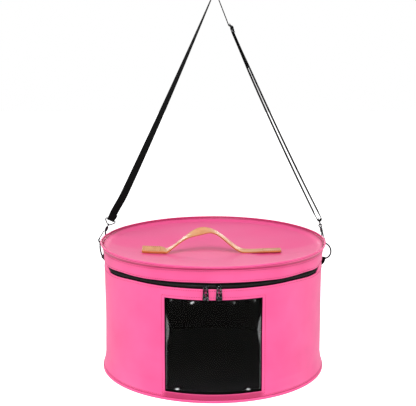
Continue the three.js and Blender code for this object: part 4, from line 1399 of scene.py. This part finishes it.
@dataclass
class Hanger:
    """One side's webbing tab, ring and swivel hook, all in the part's own places."""

    side: str
    azimuth: float
    ring_height: float
    ring_lean: float
    ring_turn: float
    hook_lean: float
    hook_turn: float
    loop_turn: float
    body_radius: float = 208.6
    stand_off: float = 18.8
    ring_radius: float = 15.5
    ring_wire: float = 1.5
    hook_wire: float = 1.6
    eye_inner: float = 3.1
    eye_height: float = 22.5
    shank: float = 6.0
    barrel_radius: float = 2.8
    barrel_length: float = 9.7
    eyelet_radius: float = 3.0
    eyelet_wire: float = 1.1
    loop_width: float = 19.6
    loop_height: float = 12.3
    loop_wire: float = 1.1
    gate_wire: float = 1.0
    webbing_width: float = 9.5
    webbing_thickness: float = 1.3
    webbing_length: float = 18.0
    gap: float = 0.3

    def __post_init__(self) -> None:
        """Works out the directions and the heights that the pieces share."""
        azimuth = math.radians(self.azimuth)
        self.out = np.array([math.cos(azimuth), math.sin(azimuth), 0.0])
        self.aside = np.array([-math.sin(azimuth), math.cos(azimuth), 0.0])
        self.up = np.array([0.0, 0.0, 1.0])
        lean = math.radians(self.ring_lean)
        self.centre = self.out * (self.body_radius + self.stand_off) + self.up * self.ring_height
        self.ring_up = self.out * math.sin(lean) + self.up * math.cos(lean)
        self.top = self.centre + self.ring_up * self.ring_radius
        hook = math.radians(self.hook_lean)
        self.axis = -self.out * math.sin(hook) + self.up * math.cos(hook)
        outward = self.out * math.cos(hook) + self.up * math.sin(hook)
        self.across = turned_about(outward, self.axis, math.radians(self.hook_turn))
        self.normal = np.cross(self.across, self.axis)
        self.loop_across = turned_about(outward, self.axis, math.radians(self.loop_turn))
        self.loop_normal = np.cross(self.loop_across, self.axis)
        self.eye_radius = self.eye_inner + self.hook_wire
        self.eye_bottom = -(self.ring_wire + self.gap + self.hook_wire)
        self.eye_middle = self.eye_bottom + self.eye_radius
        self.shank_bottom = self.eye_middle + self.eye_height
        self.barrel_bottom = self.shank_bottom + self.gap
        self.barrel_top = self.barrel_bottom + self.barrel_length
        self.eyelet_middle = self.barrel_top + self.eyelet_radius + self.eyelet_wire - 0.8
        eyelet_top = self.eyelet_middle + self.eyelet_radius - self.eyelet_wire
        self.loop_bottom = eyelet_top - self.loop_wire - self.gap
        self.bar = self.top + self.axis * (self.loop_bottom + self.loop_height)

    def on_hook(self, points: Array, across: Array, normal: Array) -> Array:
        """Points given as (across, along the hook, thickness) in the drum's frame."""
        return self.top + points[:, :1] * across + points[:, 1:2] * self.axis + points[:, 2:] * normal

    def make_ring(self) -> None:
        """The ring: a round wire on a circle that is turned about its own upright."""
        turn = math.radians(90 + self.ring_turn)
        lean = math.radians(self.ring_lean)
        level = self.out * math.cos(lean) - self.up * math.sin(lean)
        flat = level * math.cos(turn) + self.aside * math.sin(turn)
        angle = around(72)[:, None]
        path = self.centre + self.ring_radius * (np.cos(angle) * flat + np.sin(angle) * self.ring_up)
        rows = wire(path, np.cross(flat, self.ring_up), self.ring_wire, 14, closed=True)
        ring = Surface().tube(rows, closed=True).make(f"round_ring_{self.side}")
        dress(ring, METAL, replaces=(f"ring_{self.side}",))

    def make_tab(self) -> None:
        """The tab: webbing sewn to the wall, folded over the ring's lowest wire and turned with the ring."""
        foot = self.centre - self.ring_up * self.ring_radius
        far, low = float(foot @ self.out), float(foot @ self.up)
        half = self.webbing_thickness / 2
        wall = self.body_radius + self.gap + half
        top = low - 16
        end = top - self.webbing_length
        bend = self.ring_wire + 0.5 + half
        front = wall + self.webbing_thickness + self.gap
        angle = np.radians(165 - 11.5 * np.arange(17))
        line = np.concatenate(
            [
                [[wall, end], [wall, top - 9], [wall, top], [wall + 2.5, top + 4.5]],
                [[far - bend - 1, low - 3.4]],
                np.stack([far + bend * np.cos(angle), low + bend * np.sin(angle)], axis=1),
                [[front + 4.7, top + 2.3], [front, top - 2.5], [front, top - 10], [front, end]],
            ]
        )
        line = evenly(smooth_line(line, 4), 0.7)
        twist = math.radians(self.ring_turn) * smoothstep(line[:, 1], top, low - 5)
        beside = line[:, 0] - far
        path = (
            (far + beside * np.cos(twist))[:, None] * self.out
            + (beside * np.sin(twist))[:, None] * self.aside
            + line[:, 1:] * self.up
        )
        across = np.cos(twist)[:, None] * self.aside - np.sin(twist)[:, None] * self.out
        size = np.tile([self.webbing_width, self.webbing_thickness - 0.05], (len(path), 1))
        surface = Surface().tube(swept(path, across, flat_section(0.04, 4, 6), size))
        dress(surface.make(f"webbing_tab_{self.side}"), WEBBING, replaces=(f"ring_tab_{self.side}",))

    def make_hook(self) -> None:
        """The hook's body: a cast wire, thickest at the back of its eye, with a round tip; and its gate."""
        tip = self.eye_middle + 3.2
        eye, middle, shank = self.eye_radius, self.eye_middle, self.shank_bottom
        corners = np.array(
            [
                [0, shank + self.shank, 0],
                [0, shank + 1, 0],
                [-0.6, shank - 2.4, 0],
                [-eye + 0.3, middle + self.eye_height * 0.55, 0],
                [-eye, middle + 2.5, 0],
                [-eye * 0.92, middle - eye * 0.4, 0],
                [0, self.eye_bottom, 0],
                [eye * 0.92, middle - eye * 0.4, 0],
                [eye, tip, 0],
            ]
        )
        path = evenly(smooth_line(corners, 14), 0.6)
        share = np.linspace(0, 1, len(path))
        size = self.hook_wire * (0.86 + 0.14 * np.sin(np.pi * share))
        size = size * np.sqrt(np.clip((1.02 - share) / 0.03, 0.05, 1))
        rows = wire(self.on_hook(path, self.across, self.normal), self.normal, size, 14)
        dress(Surface().tube(rows).make(f"hook_{self.side}"), METAL, replaces=(f"hook_body_{self.side}",))

        foot = np.array([eye, tip + self.gap, 0])
        head = np.array([self.hook_wire + self.gate_wire + self.gap, shank - 1.6, 0])
        share = np.linspace(0, 1, 30)
        lever = foot + (head - foot) * share[:, None]
        size = self.gate_wire * (0.82 + 0.18 * np.cos(2 * np.pi * share) ** 2)
        rows = wire(self.on_hook(lever, self.across, self.normal), self.normal, size, 12)
        gate, body = Surface().tube(rows).make(f"gate_{self.side}"), f"hook_gate_{self.side}"
        dress(gate, METAL, body, (body,))

    def make_swivel(self) -> None:
        """The swivel's turned barrel with a groove, and the eyelet on it."""
        low, high = self.barrel_bottom, self.barrel_top
        bore, wide, axis = self.hook_wire + self.gap, self.barrel_radius, 0.001
        bore_top = self.shank_bottom + self.shank + self.gap
        outline = np.array(
            [
                [bore, low],
                [wide - 0.3, low],
                [wide, low + 0.5],
                [wide, low + 2.2],
                [wide - 0.5, low + 2.6],
                [wide - 0.5, low + 3.1],
                [wide, low + 3.5],
                [wide, high - 1.8],
                [wide - 1.0, high - 0.3],
                [axis, high],
                [axis, bore_top],
                [bore, bore_top],
            ]
        )
        angle = around(24)
        radius, height = outline[:, None, 0], outline[:, None, 1]
        barrel = np.stack([radius * np.cos(angle), height + 0 * angle, radius * np.sin(angle)], axis=-1)
        surface = Surface()
        placed = self.on_hook(barrel.reshape(-1, 3), self.loop_across, self.loop_normal).reshape(barrel.shape)
        surface.grid(placed, wrap_rows=True, wrap_columns=True)
        angle = around(32)
        circle = np.stack([0 * angle, np.sin(angle), np.cos(angle)], axis=1) * self.eyelet_radius
        circle[:, 1] += self.eyelet_middle
        eyelet = self.on_hook(circle, self.loop_across, self.loop_normal)
        surface.tube(wire(eyelet, self.loop_across, self.eyelet_wire, 10, closed=True), closed=True)
        dress(surface.make(f"swivel_{self.side}"), METAL, replaces=(f"hook_swivel_{self.side}",))

    def make_loop(self) -> None:
        """The strap's wire loop: a trapezoid with round corners, wide at the strap, narrow at the swivel."""
        half, tall = self.loop_width / 2, self.loop_height
        right = np.array(
            [
                [0, 0],
                [2.2, 0.9],
                [half - 1.2, tall * 0.58],
                [half, tall * 0.75],
                [half - 0.4, tall - 0.7],
                [half - 1.6, tall],
                [0, tall],
            ]
        )
        left = right[1:-1][::-1] * [-1, 1]
        corners = np.concatenate([right, left])
        flat = smooth_line(np.concatenate([corners, np.zeros((len(corners), 1))], axis=1), 8, True, 0.35)
        flat[:, 1] += self.loop_bottom
        world = self.on_hook(flat, self.loop_across, self.loop_normal)
        surface = Surface().tube(wire(world, self.loop_normal, self.loop_wire, 12, closed=True), closed=True)
        dress(surface.make(f"strap_loop_{self.side}"), METAL, replaces=(f"hook_loop_{self.side}",))

    def make(self) -> None:
        """Makes every piece of this side."""
        self.make_ring()
        self.make_tab()
        self.make_hook()
        self.make_swivel()
        self.make_loop()


@dataclass(frozen=True)
class Wheel:
    """What a belt goes round: its place in the strap's plane, its radius, and 1 where it is on the left.

    The run that leaves it sags in its middle, and ends at the share until of its length.
    """

    x: float
    y: float
    radius: float
    turn: int
    sag: float = 0.0
    until: float = 1.0

    def touch(self, angle: float | Array) -> Array:
        """Where a line of that direction touches the wheel."""
        reach = self.turn * self.radius
        return np.stack([self.x + reach * np.sin(angle), self.y - reach * np.cos(angle)], axis=-1)

    def to(self, other: "Wheel") -> float:
        """The direction of the line that touches this wheel and then the other."""
        gap = np.array([other.x - self.x, other.y - self.y])
        tilt = math.asin((self.turn * self.radius - other.turn * other.radius) / float(np.hypot(*gap)))
        return math.atan2(gap[1], gap[0]) + tilt


def belt(wheels: list[Wheel]) -> Array:
    """A belt's path over wheels: arcs on the wheels, and between them runs that sag as a parabola."""
    runs = [a.to(b) for a, b in zip(wheels, wheels[1:])]
    parts = []
    for i, wheel in enumerate(wheels[:-1]):
        if i > 0:
            swing = math.remainder(runs[i] - runs[i - 1], 2 * math.pi)
            if swing * wheel.turn < -0.3:
                swing += 2 * math.pi * wheel.turn
            angle = runs[i - 1] + np.linspace(0, swing, max(int(abs(swing) / 0.1), 2))
            parts.append(wheel.touch(angle))
        start, end = wheel.touch(runs[i]), wheels[i + 1].touch(runs[i])
        count = max(int(np.hypot(*(end - start)) * wheel.until / 4), 2)
        share = np.linspace(0, wheel.until, count)[1:-1, None]
        line = start + (end - start) * share
        line[:, 1] -= 4 * wheel.sag * share[:, 0] * (1 - share[:, 0])
        parts.append(line)
    return np.concatenate(parts)


@dataclass
class ShoulderStrap:
    """The webbing strap between the two hooks, over the crown and through the adjuster."""

    left: Hanger
    right: Hanger
    width: float = 14.6
    thickness: float = 1.3
    gap: float = 0.3
    crown_radius: float = 5.0
    left_sag: float = 5.5
    right_sag: float = 7.0
    tear_radius: float = 4.2
    tail_share: float = 0.18
    adjuster_length: float = 17.8
    adjuster_bar: float = 0.9
    adjuster_dish: float = 1.0
    adjuster_aside: float = 31.8
    adjuster_drop: float = 54.9
    adjuster_lean: float = 36.0
    fold: float = 13.0
    fold_aside: float = 1.7
    run_aside: float = 3.0
    ply_turn: float = -6.5

    def __post_init__(self) -> None:
        """Works out the strap's plane, which holds X and the line from the right bar to the crown."""
        rise = CROWN - self.right.bar
        self.up = unit(np.array([0.0, rise[1], rise[2]]))
        self.across = np.cross([1.0, 0.0, 0.0], self.up)
        self.heart = CROWN - self.up * self.crown_radius
        self.bend = self.crown_radius + self.thickness / 2
        self.step = self.thickness + self.gap
        self.fold_radius = self.left.loop_wire + self.gap + self.thickness / 2

    def on_plane(self, points: Array) -> Array:
        """Points of the strap's plane in the drum's frame."""
        return self.heart + points[..., :1] * np.array([1.0, 0.0, 0.0]) + points[..., 1:] * self.up

    def left_path(self) -> tuple[Array, Array, float]:
        """The left run: the sewn fold round the bar, then up to the crown while the band turns to face it.

        Both the fold's first ply and the run's foot lie a little to the right, by smooth steps of the height.

        Returns:
            The path, the direction of the band's width at each point, and the run's lean at the crown.
        """
        bar = self.left.bar
        aside, lift = self.heart[0] - bar[0], self.heart[2] - bar[2]
        lean = math.atan2(aside, lift + 4 * self.left_sag) - math.asin(self.bend / math.hypot(aside, lift))
        leave = np.array([-self.bend * math.cos(lean), self.bend * math.sin(lean)])
        rise = self.on_plane(leave) - bar
        length = float(np.linalg.norm(rise))
        rise = rise / length
        start = -self.left.loop_across
        outer = unit(np.cross(rise, start))

        def ply(height: Array) -> Array:
            """How far a ply of the fold lies from its middle: the bar's width, closing to half a step."""
            closing = smoothstep(height, 1.5, 14)
            return self.fold_radius + (self.step / 2 + 0.1 - self.fold_radius) * closing

        rising = np.linspace(0.8, self.fold, 20)
        turn = np.linspace(0, np.pi, 16)
        heights = np.concatenate([rising[::-1], -self.fold_radius * np.sin(turn), rising])
        outs = np.concatenate([-ply(rising[::-1]), -self.fold_radius * np.cos(turn), ply(rising)])
        folded = bar + heights[:, None] * rise + outs[:, None] * outer
        folded[: len(rising), 0] += self.fold_aside * smoothstep(rising[::-1], 2, 9)
        height = np.linspace(self.fold, length, 110)[1:-1]
        beyond = (height - self.fold) / (length - self.fold)
        settle = 1 - smoothstep(height, self.fold, self.fold + 60)
        run = bar + height[:, None] * rise + (ply(height) * settle)[:, None] * outer
        run[:, 2] -= 4 * self.left_sag * beyond * (1 - beyond)
        run[:, 0] += self.run_aside * smoothstep(height, self.fold, 60) * (1 - beyond)
        first = unit(start - rise * (start @ rise))
        last = unit(self.across - rise * (self.across @ rise))
        whole = math.atan2(float(np.cross(first, last) @ rise), float(first @ last))
        turned_width = turned_about(np.tile(first, (len(height), 1)), rise, whole * beyond**0.85)
        width = np.concatenate([np.tile(start, (len(folded), 1)), turned_width])
        return np.concatenate([folded, run]), width, lean

    def right_path(self) -> tuple[Array, Array, float]:
        """The right run: through the adjuster, round the bar, back and round the middle bar to its end.

        The band's width turns to the bar over the lowest stretch, and its plies turn a little where they
        hang side by side.

        Returns:
            The path, the direction of the band's width at each point, and the angle at which it leaves the
            crown.
        """
        slope = math.radians(self.adjuster_lean)
        down = np.array([math.sin(slope), -math.cos(slope)])
        face = np.array([math.cos(slope), math.sin(slope)])
        middle = np.array([self.adjuster_aside, -self.adjuster_drop])
        pitch = self.adjuster_length / 2 - self.adjuster_bar
        upper, lower = middle - down * pitch, middle + down * pitch
        centre = middle - face * self.adjuster_dish
        away = self.right.bar - self.heart
        bar = np.array([away[0], float(away @ self.up) + self.tear_radius - self.fold_radius])
        near = self.adjuster_bar + self.gap + self.thickness / 2
        step, sag = self.step, self.right_sag
        wheels = [
            Wheel(0, 0, self.bend, -1),
            Wheel(*upper, near, 1),
            Wheel(*centre, near + step, -1),
            Wheel(*lower, near, 1, sag),
            Wheel(*bar, self.tear_radius, -1, sag),
            Wheel(*lower, near + 2 * step, -1),
            Wheel(*centre, near, -1),
            Wheel(*lower, near + step, 1, sag, self.tail_share),
            Wheel(*bar, self.tear_radius - step, -1),
        ]
        flat = belt(wheels)
        path = self.on_plane(flat)
        last = self.right.loop_across * np.sign(self.right.loop_across @ self.across)
        low = 1 - smoothstep(flat[:, 1], bar[1] + 10, bar[1] + 130)
        width = unit(self.across * (1 - low)[:, None] + last * low[:, None])
        drop = -flat[:, 1]
        hanging = smoothstep(drop, self.adjuster_drop + 30, self.adjuster_drop + 90)
        hanging = hanging * (1 - smoothstep(drop, -bar[1] - 14, -bar[1] - 4))
        along = unit(np.gradient(path, axis=0))
        turn = math.radians(self.ply_turn) * hanging * np.sign(along[:, 2])
        return path, turned_about(width, along, turn), wheels[0].to(wheels[1]) + math.pi / 2

    def make(self) -> None:
        """Makes the strap as one band along its whole path, and the adjuster with its edges rounded."""
        left, left_width, lean = self.left_path()
        right, right_width, leave = self.right_path()
        angle = np.linspace(math.pi - lean, leave, 24)
        crown = self.on_plane(self.bend * np.stack([np.cos(angle), np.sin(angle)], axis=1))
        path = np.concatenate([left, crown, right])
        width = np.concatenate([left_width, np.tile(self.across, (24, 1)), right_width])
        size = np.tile([self.width, self.thickness], (len(path), 1))
        surface = Surface().tube(swept(path, width, flat_section(0.04, 4, 8), size))
        dress(surface.make("webbing_strap"), WEBBING, replaces=("shoulder_strap",))
        adjuster = refined("strap_adjuster", "adjuster", 0.4)
        dress(adjuster, METAL, replaces=("strap_adjuster",))


@dataclass
class Studio:
    """A plain pale floor far below, a white surround, soft lights and the camera at the photo's angle."""

    floor: float = -1.9
    floor_glow: float = 0.25
    half_width: float = 14.0
    horizon: float = 1.0
    zenith: float = 0.36
    aim: tuple[float, float, float] = (0.0, 0.0, -0.55)

    def make_camera(self) -> None:
        """The camera: from the solved view of the photo, in metres and degrees."""
        data = bpy.data.cameras.new("camera")
        data.lens = 93.94
        data.sensor_width = 36
        camera = bpy.data.objects.new("camera", data)
        camera.location = (-0.012668, -2.03134, 0.02886)
        camera.rotation_euler = (math.radians(90 - 11.640), 0, 0)
        bpy.context.scene.collection.objects.link(camera)
        bpy.context.scene.camera = camera

    def make_light(self, name: str, place: tuple, size: tuple, power: float) -> None:
        """A soft box of a size in metres at a place, turned to the box, with a power in watts."""
        data = bpy.data.lights.new(name, "AREA")
        data.shape = "RECTANGLE"
        data.size, data.size_y = size
        data.energy = power
        light = bpy.data.objects.new(name, data)
        light.location = place
        toward = Vector(self.aim) - Vector(place)
        light.rotation_euler = toward.to_track_quat("-Z", "Y").to_euler()
        bpy.context.scene.collection.objects.link(light)

    def make_floor(self) -> None:
        """The floor: a wide level sheet of matt white card."""
        mesh = bpy.data.meshes.new("floor")
        sides = ((-1, -1), (1, -1), (1, 1), (-1, 1))
        corners = [(x * self.half_width, y * self.half_width, self.floor) for x, y in sides]
        mesh.from_pydata(corners, [], [(0, 1, 2, 3)])
        floor = bpy.data.objects.new("floor", mesh)
        bpy.context.scene.collection.objects.link(floor)
        card = Finish("matt_white_card", "floor", 0xFBFBFB, roughness=0.9, specular=0.1).material()
        tree = card.node_tree
        shader = tree.nodes["Principled BSDF"]
        shader.inputs["Emission Color"].default_value = (1, 1, 1, 1)
        seen = add_node(tree, "ShaderNodeLightPath").outputs["Is Camera Ray"]
        glow = add_node(tree, "ShaderNodeMapRange", Value=seen, To_Min=self.floor_glow, To_Max=1.0)
        tree.links.new(glow.outputs[0], shader.inputs["Emission Strength"])
        mesh.materials.append(card)

    def make(self) -> None:
        """Makes the surround, the floor, the lights and the camera."""
        world = bpy.data.worlds.new("white_surround")
        world.use_nodes = True
        tree = world.node_tree
        direction = add_node(tree, "ShaderNodeTexCoord").outputs["Generated"]
        height = add_node(tree, "ShaderNodeSeparateXYZ", s0=direction)
        glow = add_node(
            tree,
            "ShaderNodeMapRange",
            {"interpolation_type": "SMOOTHSTEP"},
            Value=height.outputs["Z"],
            From_Min=0.2,
            From_Max=0.6,
            To_Min=self.horizon,
            To_Max=self.zenith,
        )
        seen = add_node(tree, "ShaderNodeLightPath").outputs["Is Camera Ray"]
        floats = {"data_type": "FLOAT"}
        strength = add_node(tree, "ShaderNodeMix", floats, s0=seen, s2=glow.outputs[0], s3=1.0)
        tree.links.new(strength.outputs[0], tree.nodes["Background"].inputs["Strength"])
        tree.nodes["Background"].inputs["Color"].default_value = (1, 1, 1, 1)
        bpy.context.scene.world = world
        view = bpy.context.scene.view_settings
        view.view_transform = "Standard"
        view.look = "None"
        self.make_camera()
        self.make_floor()
        self.make_light("key_box", (-0.5, -1.5, 1.9), (1.6, 1.2), 50)
        self.make_light("fill_box", (1.5, -1.6, 0.2), (0.8, 1.2), 5)
        self.make_light("left_box", (-2.0, -0.1, -0.2), (0.8, 1.6), 6)
        self.make_light("right_box", (2.0, -0.1, -0.2), (0.8, 1.6), 7)
        self.make_light("spark", (-0.45, -2.2, 0.75), (0.3, 0.3), 6)
        self.make_light("back_left", (-0.8, 2.4, 0.15), (0.35, 0.25), 4)
        self.make_light("back_right", (0.8, 2.4, 0.15), (0.35, 0.25), 4)


def main() -> None:
    logging.basicConfig(level=logging.INFO, format="%(name)s %(message)s")
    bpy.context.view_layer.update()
    Studio().make()
    left = Hanger("left", 165, 215.5, 9, 9, 26, 5, 15)
    right = Hanger("right", 15, 211.5, 4, 45, 14, 45, 75)
    ShoulderStrap(left, right).make()
    lid = Lid()
    Drum(lid).make()
    Window().make()
    Zip().make()
    lid.make()
    Handle(lid).make()
    left.make()
    right.make()


if __name__ == "__main__":
    main()
